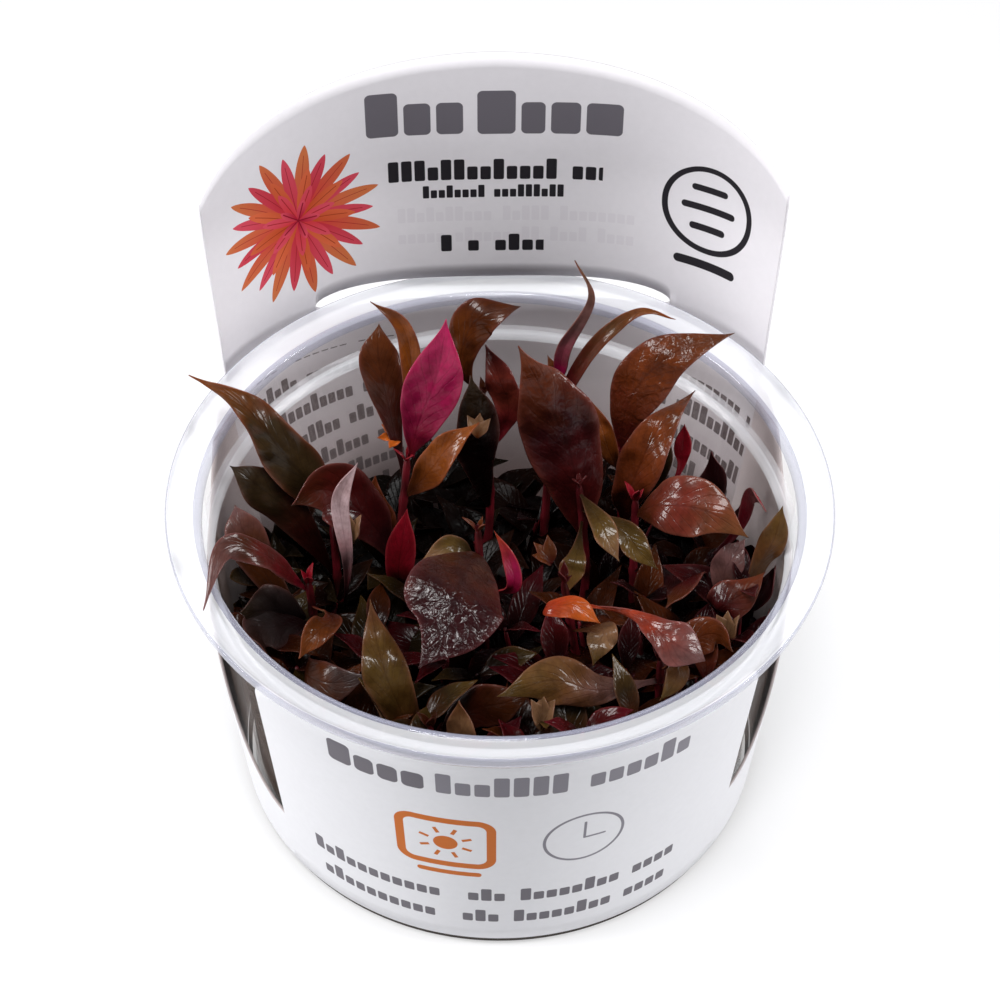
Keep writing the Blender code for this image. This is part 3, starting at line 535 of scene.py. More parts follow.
class Print(Finish):
    """One printed side of the card: each mark is laid over what was printed before it."""

    def __init__(self, name, paper):
        super().__init__(name, {"Roughness": 0.42, "Specular IOR Level": 0.12})
        on_card = ((UV_SPAN, UV_SPAN, 0), (-UV_SPAN / 2, 0, 0))
        self.spot = self.vector("MULTIPLY_ADD", self.flat_place(), *on_card)
        fibres = self.clouds(900, 3)
        self.colour = self.mix(fibres, Vector(paper) * 0.97, Vector(paper) * 1.03)
        self.shade({"Normal": self.relief(fibres, 0.08, 0.05)})

    def inside(self, distance):
        """1 where the distance is below zero, with the soft edge that ink has."""
        share = self.maths("SUBTRACT", 0.5, self.maths("DIVIDE", distance, INK_EDGE))
        return self.maths("MINIMUM", self.maths("MAXIMUM", share, 0), 1)

    def ink(self, distance, colour):
        """Lays a colour on wherever the distance is below zero."""
        self.colour = self.mix(self.inside(distance), self.colour, colour)

    def off_middle(self, count):
        """How far a number is from halfway between the whole numbers next to it."""
        return self.maths("ABSOLUTE", self.maths("SUBTRACT", self.maths("FRACT", count), 0.5))

    def round_about(self, middle):
        """Distance and angle from a point of the card."""
        centred = self.vector("SUBTRACT", self.spot, (*middle, 0))
        split = self.axes(centred)
        return self.vector("LENGTH", centred), self.maths("ARCTAN2", split["Y"], split["X"])

    def bar_distance(self, left, right, low, high, corner):
        """Distance to a rounded bar's edge, negative inside it."""
        middle = ((left + right) / 2, (low + high) / 2, 0)
        half = ((right - left) / 2 - corner, (high - low) / 2 - corner, 0)
        away = self.vector("ABSOLUTE", self.vector("SUBTRACT", self.spot, middle))
        past = self.vector("MAXIMUM", self.vector("SUBTRACT", away, half), (0, 0, 0))
        return self.maths("SUBTRACT", self.vector("LENGTH", past), corner)

    def bar(self, left, right, low, high, corner, colour):
        self.ink(self.bar_distance(left, right, low, high, corner), colour)

    def outline(self, left, right, low, high, corner, line, colour):
        edge = self.maths("ABSOLUTE", self.bar_distance(left, right, low, high, corner))
        self.ink(self.maths("SUBTRACT", edge, line / 2), colour)

    def lines(self, left, right, low, high, pitch, body, stroke, colour):
        """Rows of small solid blocks in groups, the grey rhythm that small print has from afar."""
        split = self.axes(self.vector("SUBTRACT", self.spot, (left, low, 0)))
        row = self.maths("FLOOR", self.maths("DIVIDE", split["Y"], pitch))
        up = self.maths("SUBTRACT", split["Y"], self.maths("MULTIPLY", row, pitch))
        across = self.maths("DIVIDE", split["X"], stroke)
        cell = self.maths("FLOOR", across)
        number = self.maths("MULTIPLY_ADD", row, 41, self.maths("ADD", cell, 0.5 + left))
        pick = self.node("TexWhiteNoise", {"W": number}, noise_dimensions="1D").outputs["Color"]
        chance = self.node("SeparateColor", {"Color": pick}).outputs
        tall = self.maths("GREATER_THAN", chance["Red"], 0.68)
        half_up = self.maths("MULTIPLY_ADD", tall, body * 0.18, body * 0.32)
        in_cell = self.maths("SUBTRACT", self.maths("SUBTRACT", across, cell), 0.5)
        side = self.maths("MULTIPLY", self.maths("ABSOLUTE", in_cell), stroke)
        side = self.maths("SUBTRACT", side, stroke * 0.40)
        rise = self.maths("SUBTRACT", self.maths("ABSOLUTE", self.maths("SUBTRACT", up, half_up)), half_up)
        block = self.inside(self.maths("SMOOTH_MAX", side, rise, stroke * 0.25))
        shown = self.maths("GREATER_THAN", chance["Green"], 0.15)
        area = self.inside(self.bar_distance(left, right, low - 0.3, high, 0.1))
        mask = self.maths("MULTIPLY", self.maths("MULTIPLY", block, shown), area)
        self.colour = self.mix(mask, self.colour, colour)

    def word(self, left, low, blocks, gap, colour):
        """Solid rounded blocks in a row, each given by its width and height."""
        for width, height in blocks:
            self.bar(left, left + width, low, low + height, BLOCK_CORNER, colour)
            left += width + gap

    def rosette(self, middle, rings):
        """A whorl of pointed leaves seen from above, from the outer ring to the inner one."""
        reach, angle = self.round_about(middle)
        sway = self.maths("MULTIPLY", self.maths("SINE", self.maths("MULTIPLY", angle, 5)), 0.2)
        for radius, count, offset, inner, outer in rings:
            turns = self.maths("MULTIPLY_ADD", angle, count / (2 * pi), offset)
            width = self.maths("MULTIPLY", self.off_middle(turns), 2)
            limit = self.maths("SUBTRACT", 1, self.maths("POWER", width, 1.3))
            leaf_edge = self.maths("SUBTRACT", reach, self.maths("MULTIPLY", limit, radius))
            share = self.maths("ADD", self.maths("DIVIDE", reach, radius), sway)
            self.ink(leaf_edge, self.mix(share, inner, outer))
            rib = self.maths("SUBTRACT", self.maths("MULTIPLY", width, reach), 0.14)
            rib = self.maths("MAXIMUM", rib, self.maths("SUBTRACT", reach, radius * 0.86))
            self.ink(rib, Vector(inner) * 0.55)

    def sun(self, middle, colour):
        """A disc with a wreath of short rays."""
        rays = 8
        reach, angle = self.round_about(middle)
        off_ray = self.off_middle(self.maths("MULTIPLY", angle, rays / (2 * pi)))
        width = self.maths("MULTIPLY", off_ray, self.maths("MULTIPLY", reach, 2 * pi / rays))
        width = self.maths("SUBTRACT", width, 0.28)
        ring = self.maths("SUBTRACT", self.maths("ABSOLUTE", self.maths("SUBTRACT", reach, 3.2)), 0.7)
        self.ink(self.maths("SUBTRACT", reach, 1.7), colour)
        self.ink(self.maths("MAXIMUM", width, ring), colour)

    def damp_and_shade(self, low, high, tone):
        """Darkens the paper from a height downwards: partly damp where the cup keeps it moist, partly
        painted shade and reflected light from the leaves.
        """
        share = self.fade(self.axes(self.spot)["Y"], high, low)
        self.colour = self.mix(share, self.colour, tone)

    def done(self):
        self.shade({"Base Color": self.colour})
        return self.material


header_print = Print("header print", SHADED_WHITE)
# Painted shade: the header's paper turns dark red-brown towards the table, partly damp, partly the shade
# and the leaves' reflected light inside the cup.
header_print.damp_and_shade(10, 55, DAMP_SHADED_CARD)
header_print.lines(-14.0, 21.0, 60.6, 67.4, 3.5, 2.4, 1.4, INK_SHOWING)
header_print.word(-17.9, 79.1, ((4.6, 7.4), (3.8, 5.4), (3.8, 5.4)), 0.8, INK_GREY)
header_print.word(-2.1, 79.0, ((5.4, 7.4), (3.4, 5.4), (4.2, 5.4), (5.2, 5.4)), 0.8, INK_GREY)
header_print.lines(-15.2, 16.0, 71.0, 75.0, 9.0, 3.6, 1.9, INK_BLACK)
header_print.lines(-10.2, 10.4, 68.0, 70.5, 9.0, 2.1, 1.15, INK_BLACK)
header_print.lines(-7.8, 7.6, 59.0, 62.8, 9.0, 2.8, 2.0, INK_BLACK)
# Each ring of the rosette: radius, number of leaves, turn, and the colours at its middle and its tips
header_print.rosette((-28.6, 67.4), (
    (12.6, 11, 0.0, INK_RED, (0.54, 0.15, 0.055)),
    (11.2, 11, 0.5, (0.42, 0.02, 0.03), INK_ROSE),
    (8.6, 9, 0.6, (0.42, 0.05, 0.015), (0.60, 0.12, 0.05)),
    (5.8, 7, 0.2, INK_RED, INK_ROSE),
    (3.3, 5, 0.5, (0.35, 0.01, 0.03), INK_ROSE),
))
header_print.outline(25.2, 38.6, 62.6, 76.0, 6.6, 0.9, INK_BLACK)
header_print.bar(29.1, 34.7, 72.0, 73.1, 0.5, INK_BLACK)
header_print.bar(27.7, 36.1, 68.8, 69.9, 0.5, INK_BLACK)
header_print.bar(29.1, 34.7, 65.6, 66.7, 0.5, INK_BLACK)
header_print.bar(27.0, 37.0, 59.6, 61.0, 0.7, INK_BLACK)
header_print.lines(-39.0, -15.0, 13.0, 44.0, 4.4, 2.6, 1.5, INK_WET)
header_print.lines(27.0, 44.5, 17.0, 40.6, 4.4, 2.6, 1.5, INK_WET)

back_print = Print("back print", WHITE)
back_print.lines(-32.0, 32.0, 12.0, 43.0, 3.1, 1.8, 1.1, INK_SOFT)

plain_inside = Print("card inside", INSIDE_CARD)

panel_print = Print("panel print", WHITE)
panel_print.word(-24.4, 40.6, ((3.4, 4.8), (2.8, 3.6), (2.8, 3.6), (3.0, 3.6)), 0.5, INK_GREY)
panel_print.lines(-9.6, 25.6, 40.5, 46.2, 9.0, 4.6, 2.5, INK_SOFT)
panel_print.outline(-14.9, -2.2, 22.4, 33.6, 2.0, 1.3, INK_ORANGE)
panel_print.sun((-8.5, 28.0), INK_ORANGE)
panel_print.bar(-12.8, -3.6, 19.6, 20.7, 0.5, INK_ORANGE)
panel_print.outline(5.0, 16.2, 22.4, 33.6, 5.6, 0.45, INK_SOFT)
panel_print.bar(10.4, 10.8, 27.9, 31.9, 0.2, INK_SOFT)
panel_print.bar(10.4, 13.7, 27.7, 28.1, 0.2, INK_SOFT)
panel_print.lines(-30.5, 27.5, 13.0, 17.2, 9.0, 3.3, 1.9, INK_GREY)
panel_print.lines(-29.5, 26.5, 7.0, 11.2, 9.0, 3.3, 1.9, INK_GREY)
for side in (header_print, back_print, plain_inside, panel_print):
    card.data.materials.append(side.done())
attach(card, "root")
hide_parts("label_card")

# Stems: soft round plantlet stems that stand in the gel, a little swollen at their leaf joints.
# Each is a foot on the gel (x, y), a middle and a top (x, y, z), with a smooth curve through them.
STEM_RADIUS = 0.8
STEM_TOP_RADIUS = 0.6
GAP = 0.3
STEM_FOOT = GEL_TOP + 2 * GAP
STEMS = {
    "stem_magenta": ((-12, 3), (-14.5, 6.5, 30), (-13, 9.5, 50)),
    "stem_back": ((-4, 9), (-1.5, 14.5, 32), (-2.5, 17.5, 55)),
    "stem_centre": ((9, 3), (12.5, 4.5, 28), (11, 6.5, 48)),
    "stem_ribbon": ((6, 14), (7, 19, 32), (8, 21, 55)),
    "stem_right_back": ((16, 10), (18, 13, 28), (17, 15.5, 45.5)),
    "stem_right": ((20, 1), (19.5, 4, 28), (19, 5.5, 46)),
    "stem_wall_right": ((29, -6), (32, -8, 24), (32, -8, 40)),
    "stem_front_right": ((11, -12), (11, -11.5, 28), (8.5, -12.5, 49)),
    "stem_front": ((0, -9), (-2, -7, 28), (-3, -4.5, 51)),
    "stem_left_back": ((-22, 5), (-23.5, 4, 26), (-24, 8.5, 45)),
    "stem_left": ((-22, -8), (-25.5, -7, 26), (-26, -9.5, 45)),
    "stem_front_low": ((-9, -23), (-9, -28, 24), (-9, -30, 40)),
    "stem_right_low": ((17, -21), (21.5, -20, 26), (21.5, -21, 43)),
}


def through(points, share):
    """A smooth curve through its points, share running from 0 to 1 along it."""
    spans = len(points) - 1
    place = min(share * spans, spans - 1e-9)
    i = int(place)
    t = place - i
    before = points[i - 1] if i > 0 else 2 * points[0] - points[1]
    start = points[i]
    end = points[i + 1]
    after = points[i + 2] if i + 2 <= spans else 2 * points[-1] - points[-2]
    bend = 2 * before - 5 * start + 4 * end - after
    turn = 3 * start - before - 3 * end + after
    return 0.5 * (2 * start + (end - before) * t + bend * t * t + turn * t * t * t)


def stem_points(name):
    foot, middle, top = STEMS[name]
    return [Vector((*foot, STEM_FOOT)), Vector(middle), Vector(top)]


def stem_at_height(name, height):
    points = stem_points(name)
    low = 0.0
    high = 1.0
    for _ in range(30):
        share = (low + high) / 2
        if through(points, share).z < height:
            low = share
        else:
            high = share
    return through(points, low)


stem_finish = Finish("red stem", {"Roughness": 0.30, "Coat Weight": 0.35, "Coat Roughness": 0.12})
blush = stem_finish.clouds(240, 3)
stem_finish.shade({
    "Base Color": stem_finish.ramp(blush, (0.3, (0.022, 0.003, 0.003)), (0.7, (0.120, 0.006, 0.012))),
    "Normal": stem_finish.relief(blush, 0.25, 0.15),
})


def grown_stem(name):
    curve = bpy.data.curves.new(name + "_stalk", "CURVE")
    curve.dimensions = "3D"
    curve.bevel_depth = STEM_RADIUS * MM
    curve.bevel_resolution = 3
    curve.use_fill_caps = True
    spline = curve.splines.new("POLY")
    rings = 40
    joint_spacing = 0.2
    joint_swelling = 0.22
    closing_length = 0.05
    spline.points.add(rings)
    for i, point in enumerate(spline.points):
        share = i / rings
        swelling = joint_swelling * max(0.0, cos(2 * pi * share / joint_spacing)) ** 6
        point.co = (*(through(stem_points(name), share) * MM), 1)
        closing = sqrt(min(1.0, (1.002 - share) / closing_length))
        point.radius = (1 + (STEM_TOP_RADIUS / STEM_RADIUS - 1) * share) * (0.9 + swelling) * closing
    rough = bpy.data.objects.new(name + "_stalk", curve)
    bpy.context.scene.collection.objects.link(rough)
    evaluated = rough.evaluated_get(bpy.context.evaluated_depsgraph_get())
    mesh = bpy.data.meshes.new_from_object(evaluated)
    bpy.data.objects.remove(rough)
    mesh.shade_smooth()
    mesh.materials.clear()
    mesh.materials.append(stem_finish.material)
    stem = bpy.data.objects.new(name + "_stalk", mesh)
    bpy.context.scene.collection.objects.link(stem)
    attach(stem, "root")
    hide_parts(name)


for stem_name in STEMS:
    grown_stem(stem_name)

# Leaves: lance-shaped blades that spring from the stems, folded or rolled along a sunk midrib, with fine
# veins, a wavy edge and a moist skin. They are brown, red or olive, some pink below, painted darker low in
# the cup as shade.
BLADE = 0.24
FACING = Vector((0, -0.68, 0.73))
GROWN_WAVES = 1.1
SHADE_LOW = 27.0
SHADE_HIGH = 50.0
EDGE_DRIFT = 0.22
EDGE_WAVES = 15
EDGE_WAVE_HEIGHT = 0.8
CRUMPLE_HEIGHT = 1.1
CRUMPLE_SCALE = 0.33
# Each leaf has three groups of values. Midrib: stem, height of the root on it, two points and the tip
# (x, y, z). Blade: width, place of the widest part from root (0) to tip (1), turn at root and tip in
# degrees, fold of its halves. Look: colours of root, middle, tip and underside, crinkle, waves of the edge.
LEAVES = {
    "leaf_rim_arch_left": (
        ("stem_left_back", 42, (-29.2, 7.4, 50.8), (-35.4, 11, 58.2), (-43.3, 15, 60)),
        (7, 0.28, 5, 15, -0.25), ("dark olive", "dark olive", "amber", "pink", 0.4, 0.8)),
    "leaf_rim_hook_left": (
        ("stem_left", 43, (-30.4, -12.8, 53.5), (-35.5, -15.5, 58), (-37.7, -23.8, 55.5)),
        (3.8, 0.45, 10, -30, -0.2), ("deep crimson", "umber", "mauve", "deep crimson", 0.4, 0.4)),
    "leaf_olive_left": (
        ("stem_left_back", 30, (-29.7, 6.4, 41), (-34.6, 7.7, 46), (-38.2, 9.6, 47.5)),
        (6.5, 0.5, 0, 0, -0.25), ("maroon", "dark olive", "dark olive", "maroon", 0.4, 0.5)),
    "leaf_pink_wall_left": (
        ("stem_left", 24, (-33.5, 0, 36), (-36.2, 2.6, 42), (-37.4, 5.4, 44)),
        (6, 0.55, 0, 0, 0.1), ("brown", "brown", "mauve", "mauve", 0.2, 0.3)),
    "leaf_grey_sliver": (
        ("stem_left_back", 22, (-21.2, -2.5, 41), (-21.9, 0.5, 50), (-19.4, 3.2, 55)),
        (2.6, 0.62, 0, 0, 0.3), ("crimson", "pale mauve", "pale mauve", "pale mauve", 0.3, 0.2)),
    "leaf_maroon_bowl": (
        ("stem_magenta", 30, (-18.6, 4.4, 42), (-24.2, 4.6, 48), (-28.8, 1.6, 48)),
        (9, 0.55, -15, 0, 0.4), ("wine", "maroon", "umber", "mauve", 0.4, 0.5)),
    "leaf_magenta_tall": (
        ("stem_magenta", 49.6, (-11.2, 9.2, 56.5), (-8.4, 10.8, 65), (-7.3, 13, 72.5)),
        (7.8, 0.56, 10, 0, 0.22), ("deep crimson", "magenta", "bright magenta", "magenta", 0.35, 0.5)),
    "leaf_brown_thin": (
        ("stem_magenta", 49.5, (-12.2, 14.2, 59), (-13.2, 16.8, 67.3), (-17.9, 19.2, 70)),
        (3, 0.52, 0, 25, 0.4), ("umber", "amber", "brown", "rust", 0.3, 0.3)),
    "leaf_brown_curl": (
        ("stem_magenta", 46, (-15.4, 12.8, 55.5), (-16.8, 15.8, 62.5), (-16.8, 19.2, 66)),
        (6, 0.6, 0, 0, -0.25), ("wine", "umber", "brown", "maroon", 0.3, 0.4)),
    "leaf_brown_nod": (
        ("stem_back", 54, (-5.4, 15.4, 62.5), (-3.2, 16.2, 69.5), (2.7, 18.3, 70)),
        (6, 0.62, -10, 0, -0.2), ("brown", "brown", "umber", "maroon", 0.3, 0.4)),
    "leaf_centre_big": (
        ("stem_centre", 38, (10.1, 8, 50), (6.3, 10, 60.5), (2.3, 11.6, 69)),
        (11, 0.44, 0, 0, -0.3), ("maroon", "wine", "rust", "maroon", 1.0, 0.8)),
    "leaf_centre_red": (
        ("stem_back", 44, (1.2, 16.3, 52), (-0.2, 17, 58), (-2.2, 19.4, 62)),
        (4.6, 0.55, 10, 0, 0.2), ("deep crimson", "red brown", "maroon", "maroon", 0.6, 0.5)),
    "leaf_centre_dark": (
        ("stem_back", 34, (-3, 11.6, 47), (-3.4, 12.4, 55.5), (-4.2, 14.2, 61)),
        (6.6, 0.5, -10, -10, -0.25), ("black wine", "black wine", "dark olive", "wine", 2.0, 0.6)),
    "leaf_amber_low": (
        ("stem_magenta", 43, (-9.8, 6.2, 50), (-6.8, 6.2, 55.4), (-2.8, 7.6, 58.4)),
        (5, 0.46, 0, 25, 0.25), ("umber", "amber", "amber", "brown", 0.5, 0.5)),
    "leaf_ribbon_back": (
        ("stem_ribbon", 54.5, (9, 20.6, 60.5), (12.4, 21, 69), (10, 23.4, 74)),
        (2.2, 0.24, 20, -20, 0.3), ("magenta", "mauve", "bronze", "magenta", 0.2, 0.2)),
    "leaf_curl_back": (
        ("stem_ribbon", 49, (12.8, 20, 60.6), (18.8, 20.2, 67.3), (24, 18.6, 67.5)),
        (2.3, 0.3, 0, 20, 0.3), ("deep crimson", "bronze", "amber", "deep crimson", 0.3, 0.3)),
    "leaf_right_big": (
        ("stem_right_back", 44, (18, 15.8, 54), (23, 17.4, 61.5), (32.8, 22, 62)),
        (8, 0.5, 0, 0, -0.2), ("maroon", "rust", "brown", "maroon", 2.2, 0.4)),
    "leaf_amber_right": (
        ("stem_right_back", 32, (18.6, 9, 44), (22, 11.5, 53), (27.6, 18.2, 54.5)),
        (6.2, 0.5, 0, 20, 0.2), ("maroon", "rust", "brown", "rust", 0.8, 0.8)),
    "leaf_right_flat": (
        ("stem_right", 43, (22.4, 1.6, 48.5), (28.3, -1, 50), (34, -4, 48)),
        (8.6, 0.5, 0, 0, -0.12), ("umber", "red brown", "bronze", "maroon", 0.45, 0.4)),
    "leaf_red_spark": (
        ("stem_right", 34, (25.6, 13.4, 42), (26.2, 15.2, 45.5), (26.3, 16.4, 49.5)),
        (2.6, 0.72, 0, 0, 0.3), ("deep crimson", "crimson", "crimson", "crimson", 0.2, 0.2)),
    "leaf_wall_right": (
        ("stem_wall_right", 30, (35.6, -4.4, 41), (37.6, -3.2, 47), (38.6, -0.8, 51)),
        (3.8, 0.62, 0, 0, -0.15), ("dark olive", "bronze", "olive", "brown", 0.5, 0.5)),
    "leaf_mauve_right": (
        ("stem_wall_right", 34, (31.2, -4.4, 39.5), (32.2, -2.8, 42.5), (34.2, -0.2, 43.5)),
        (4.6, 0.55, 0, 0, 0.1), ("brown", "mauve", "mauve", "brown", 0.3, 0.3)),
    "leaf_rust_right": (
        ("stem_wall_right", 37, (30.2, -10.6, 41), (33.2, -9.4, 42.5), (36.6, -5.8, 43)),
        (5.6, 0.5, 0, 0, -0.15), ("wine", "maroon", "rust", "maroon", 0.5, 0.5)),
    "leaf_arc_right": (
        ("stem_right", 22, (33.2, 6.4, 36), (35.8, 8.6, 43), (37.4, 4, 44.5)),
        (2.4, 0.66, 0, 20, 0.2), ("deep crimson", "deep crimson", "mauve", "crimson", 0.3, 0.2)),
    "leaf_broad_front": (
        ("stem_front", 46, (-5.3, -16.4, 52.2), (-6.8, -22.6, 50.6), (-10.4, -27.2, 48.2)),
        (14, 0.4, 0, 8, -0.2), ("umber", "wine", "wine", "brown", 2.9, 0.4)),
    "leaf_olive_front": (
        ("stem_front_low", 28, (-13.6, -26.6, 41), (-15.8, -22, 46), (-17, -17.2, 50.3)),
        (6, 0.46, 0, 0, -0.15), ("umber", "olive", "bronze", "brown", 0.6, 0.7)),
    "leaf_tan_front": (
        ("stem_front_low", 34, (-4.6, -32, 37), (-5, -30.8, 41), (-5.2, -29.4, 44.5)),
        (4.2, 0.55, 0, 0, 0.15), ("brown", "tan", "bronze", "brown", 0.4, 0.3)),
    "leaf_olive_low_right": (
        ("stem_right_low", 38, (12.8, -26.5, 43), (6.9, -27.2, 46), (-0.3, -29.9, 46)),
        (6.5, 0.58, 0, 10, -0.25), ("mauve", "bronze", "olive", "brown", 0.5, 0.5)),
    "leaf_flame_right": (
        ("stem_front_right", 44, (17.4, -18.9, 49.5), (22, -24.6, 51), (26.6, -25.9, 48.5)),
        (5.8, 0.74, 0, 0, -0.3), ("flame", "red brown", "mauve", "deep crimson", 0.9, 0.6)),
    "leaf_curl_right": (
        ("stem_right_low", 41, (23.4, -24, 45.5), (22.9, -26.2, 44.5), (21, -27.4, 42)),
        (3, 0.55, 0, 0, -0.2), ("brown", "bronze", "olive", "brown", 0.6, 0.3)),
    "leaf_orange_mid": (
        ("stem_front_right", 45.5, (6, -17.2, 48.5), (9.6, -18.4, 50.5), (13.2, -20.6, 49.5)),
        (3.4, 0.66, 0, 20, -0.25), ("deep crimson", "flame", "orange", "crimson", 0.4, 0.4)),
    "leaf_olive_drop": (
        ("stem_front_right", 38, (13.6, -17.6, 45), (13.2, -20.2, 44.5), (12.4, -22, 42.5)),
        (4, 0.5, 0, 0, -0.2), ("brown", "tan", "olive", "brown", 0.5, 0.3)),
    "leaf_red_bud": (
        ("stem_front", 39, (1.8, -10.6, 45), (1.2, -8.6, 49), (-0.8, -7, 52.5)),
        (2.2, 0.5, 0, 0, 0.3), ("crimson", "magenta", "flame", "crimson", 0.2, 0.1)),
    "leaf_olive_star_a": (
        ("stem_centre", 46, (13.6, -2.4, 49.5), (14.8, -5.6, 49), (16.2, -7.6, 47)),
        (3.4, 0.5, 0, 0, 0.2), ("dark olive", "olive", "tan", "brown", 0.4, 0.3)),
    "leaf_olive_star_b": (
        ("stem_centre", 43, (17, -1.6, 46.5), (19.2, -4.4, 45.5), (21.8, -6, 43.5)),
        (3.8, 0.5, 0, 0, 0.15), ("dark olive", "olive", "olive", "brown", 0.4, 0.3)),
    "leaf_olive_star_c": (
        ("stem_centre", 41, (10.6, -4.2, 44.5), (9.8, -6.4, 43.5), (9.2, -8.4, 41)),
        (3.6, 0.6, 0, 0, 0.15), ("dark olive", "olive", "bronze", "brown", 0.4, 0.3)),
    "leaf_olive_side": (
        ("stem_front", 44.5, (-5.8, -5.2, 47.2), (-8, -5.8, 47.2), (-10.8, -6.6, 45.7)),
        (3.3, 0.5, 0, 0, 0.25), ("dark olive", "olive", "tan", "brown", 0.4, 0.3)),
    "leaf_amber_left": (
        ("stem_left", 39, (-22.4, -14.8, 43.5), (-24.4, -18.4, 44.5), (-26.6, -21.1, 42.5)),
        (3.8, 0.6, 0, 20, 0.2), ("maroon", "brown", "amber", "tan", 0.7, 0.4)),
    "leaf_mauve_floor": (
        ("stem_left", 28, (-26, -19.2, 37), (-22, -23.2, 40), (-17.2, -22.6, 41)),
        (5.6, 0.55, 0, 0, -0.15), ("maroon", "brown", "slate", "wine", 0.4, 0.3)),
    "leaf_grey_left": (
        ("stem_left", 33, (-30.2, -9, 38), (-33, -11.6, 41), (-35.2, -13.2, 42.5)),
        (7, 0.5, 0, 0, -0.15), ("black wine", "slate", "dark olive", "wine", 0.8, 0.3)),
    "leaf_red_low": (
        ("stem_magenta", 26, (-14.4, 0.2, 34), (-13.8, 0.6, 41), (-12.9, 2, 47)),
        (4.4, 0.6, 0, 0, 0.25), ("deep crimson", "crimson", "crimson", "deep crimson", 0.3, 0.2)),
}
PIGMENTS = {
    "magenta": (0.215, 0.005, 0.042),
    "bright magenta": (0.370, 0.011, 0.078),
    "crimson": (0.230, 0.005, 0.014),
    "deep crimson": (0.090, 0.003, 0.008),
    "maroon": (0.048, 0.004, 0.004),
    "wine": (0.022, 0.003, 0.004),
    "black wine": (0.007, 0.002, 0.002),
    "umber": (0.044, 0.010, 0.003),
    "brown": (0.082, 0.020, 0.004),
    "rust": (0.125, 0.026, 0.006),
    "red brown": (0.130, 0.020, 0.012),
    "amber": (0.180, 0.045, 0.006),
    "orange": (0.380, 0.080, 0.008),
    "flame": (0.280, 0.030, 0.007),
    "olive": (0.080, 0.045, 0.010),
    "dark olive": (0.028, 0.016, 0.006),
    "tan": (0.190, 0.100, 0.050),
    "bronze": (0.105, 0.042, 0.014),
    "mauve": (0.150, 0.070, 0.066),
    "pale mauve": (0.340, 0.240, 0.250),
    "pink": (0.360, 0.100, 0.125),
    "slate": (0.046, 0.032, 0.031),
}


def blade_skin(name, root, middle, tip, crinkle, roughness, gloss=0.10):
    """Moist leaf skin: its colour runs from root to tip and darkens along veins; low in the cup it is
    painted darker, as shade.

    Its gloss breaks on fine crinkles.
    """
    skin = Finish(name, {"Specular IOR Level": gloss, "Coat Roughness": 0.06 + 0.04 * crinkle})
    maths = skin.maths

    def ridge(distance, sharpness):
        """1 on a line, and 0 from a small distance on."""
        return maths("MAXIMUM", maths("SUBTRACT", 1, maths("MULTIPLY", distance, sharpness)), 0)

    flat = skin.axes(skin.flat_place())
    side = maths("MULTIPLY", maths("ABSOLUTE", maths("SUBTRACT", flat["X"], 0.5)), 2)
    along = flat["Y"]
    blotch = skin.clouds(330, 4)
    wander = maths("MULTIPLY_ADD", blotch, 0.5, -0.25)
    growth = skin.ramp(maths("ADD", along, wander), (0.08, root), (0.95, tip), (0.5, middle))

    slant = maths("MULTIPLY_ADD", along, 11, maths("MULTIPLY", maths("POWER", side, 0.8), -3.2))
    slant = maths("ADD", slant, maths("MULTIPLY", blotch, 0.8))
    from_vein = maths("ABSOLUTE", maths("SUBTRACT", maths("FRACT", slant), 0.5))
    ribs = maths("MAXIMUM", maths("MULTIPLY", ridge(from_vein, 9), 0.7), ridge(side, 14))
    veined = skin.mix(maths("MULTIPLY", ribs, 0.5), growth, (0.55, 0.45, 0.5), "MULTIPLY")

    stains = maths("SUBTRACT", maths("MULTIPLY_ADD", blotch, 1.6, -0.8), 0.1)
    stains = maths("MULTIPLY_ADD", skin.clouds(1500), 0.9, stains)
    mottled = skin.mix(stains, veined, (0.40, 0.32, 0.30), "MULTIPLY")

    height = skin.axes(skin.solid_place())["Z"]
    # Painted shade: the colour is scaled down low in the cup, and the pale rim and the coat fade with it.
    light = skin.fade(height, SHADE_LOW * MM, SHADE_HIGH * MM, 0.05)
    shaded = skin.node("VectorMath", {0: mottled, "Scale": light}, operation="SCALE").outputs["Vector"]
    rim = maths("MULTIPLY", maths("POWER", side, 10), maths("MULTIPLY", light, 0.55))
    rim_colour = Vector(tip) * 0.7 + Vector((0.10, 0.03, 0.03))

    wrinkles = maths("MULTIPLY", skin.clouds(760, 3, 0.8), crinkle)
    bumps = skin.relief(maths("SUBTRACT", wrinkles, maths("MULTIPLY", ribs, 0.20)), 0.7, 0.22)
    skin.shade({
        "Base Color": skin.mix(rim, shaded, rim_colour),
        "Roughness": maths("MULTIPLY_ADD", blotch, 0.22, roughness - 0.11),
        "Coat Weight": maths("MULTIPLY", light, 0.18 + 0.10 * crinkle),
        "Normal": bumps,
        "Coat Normal": bumps,
    })
    return skin.material


def leaf_outline(share, belly):
    """Half-width of a blade, 1 at its widest part and drawn out towards root and tip."""
    body = sin(pi * share ** (log(0.5) / log(belly))) ** (0.95 + 0.45 * share)
    stalk_width = 0.13 * (1 - smooth(share / 0.3))
    return max(0.01, body, stalk_width)


def heading_at(points, share, step):
    """The direction in which a smooth curve runs at a place on it."""
    return (through(points, min(1, share + step)) - through(points, max(0, share - step))).normalized()


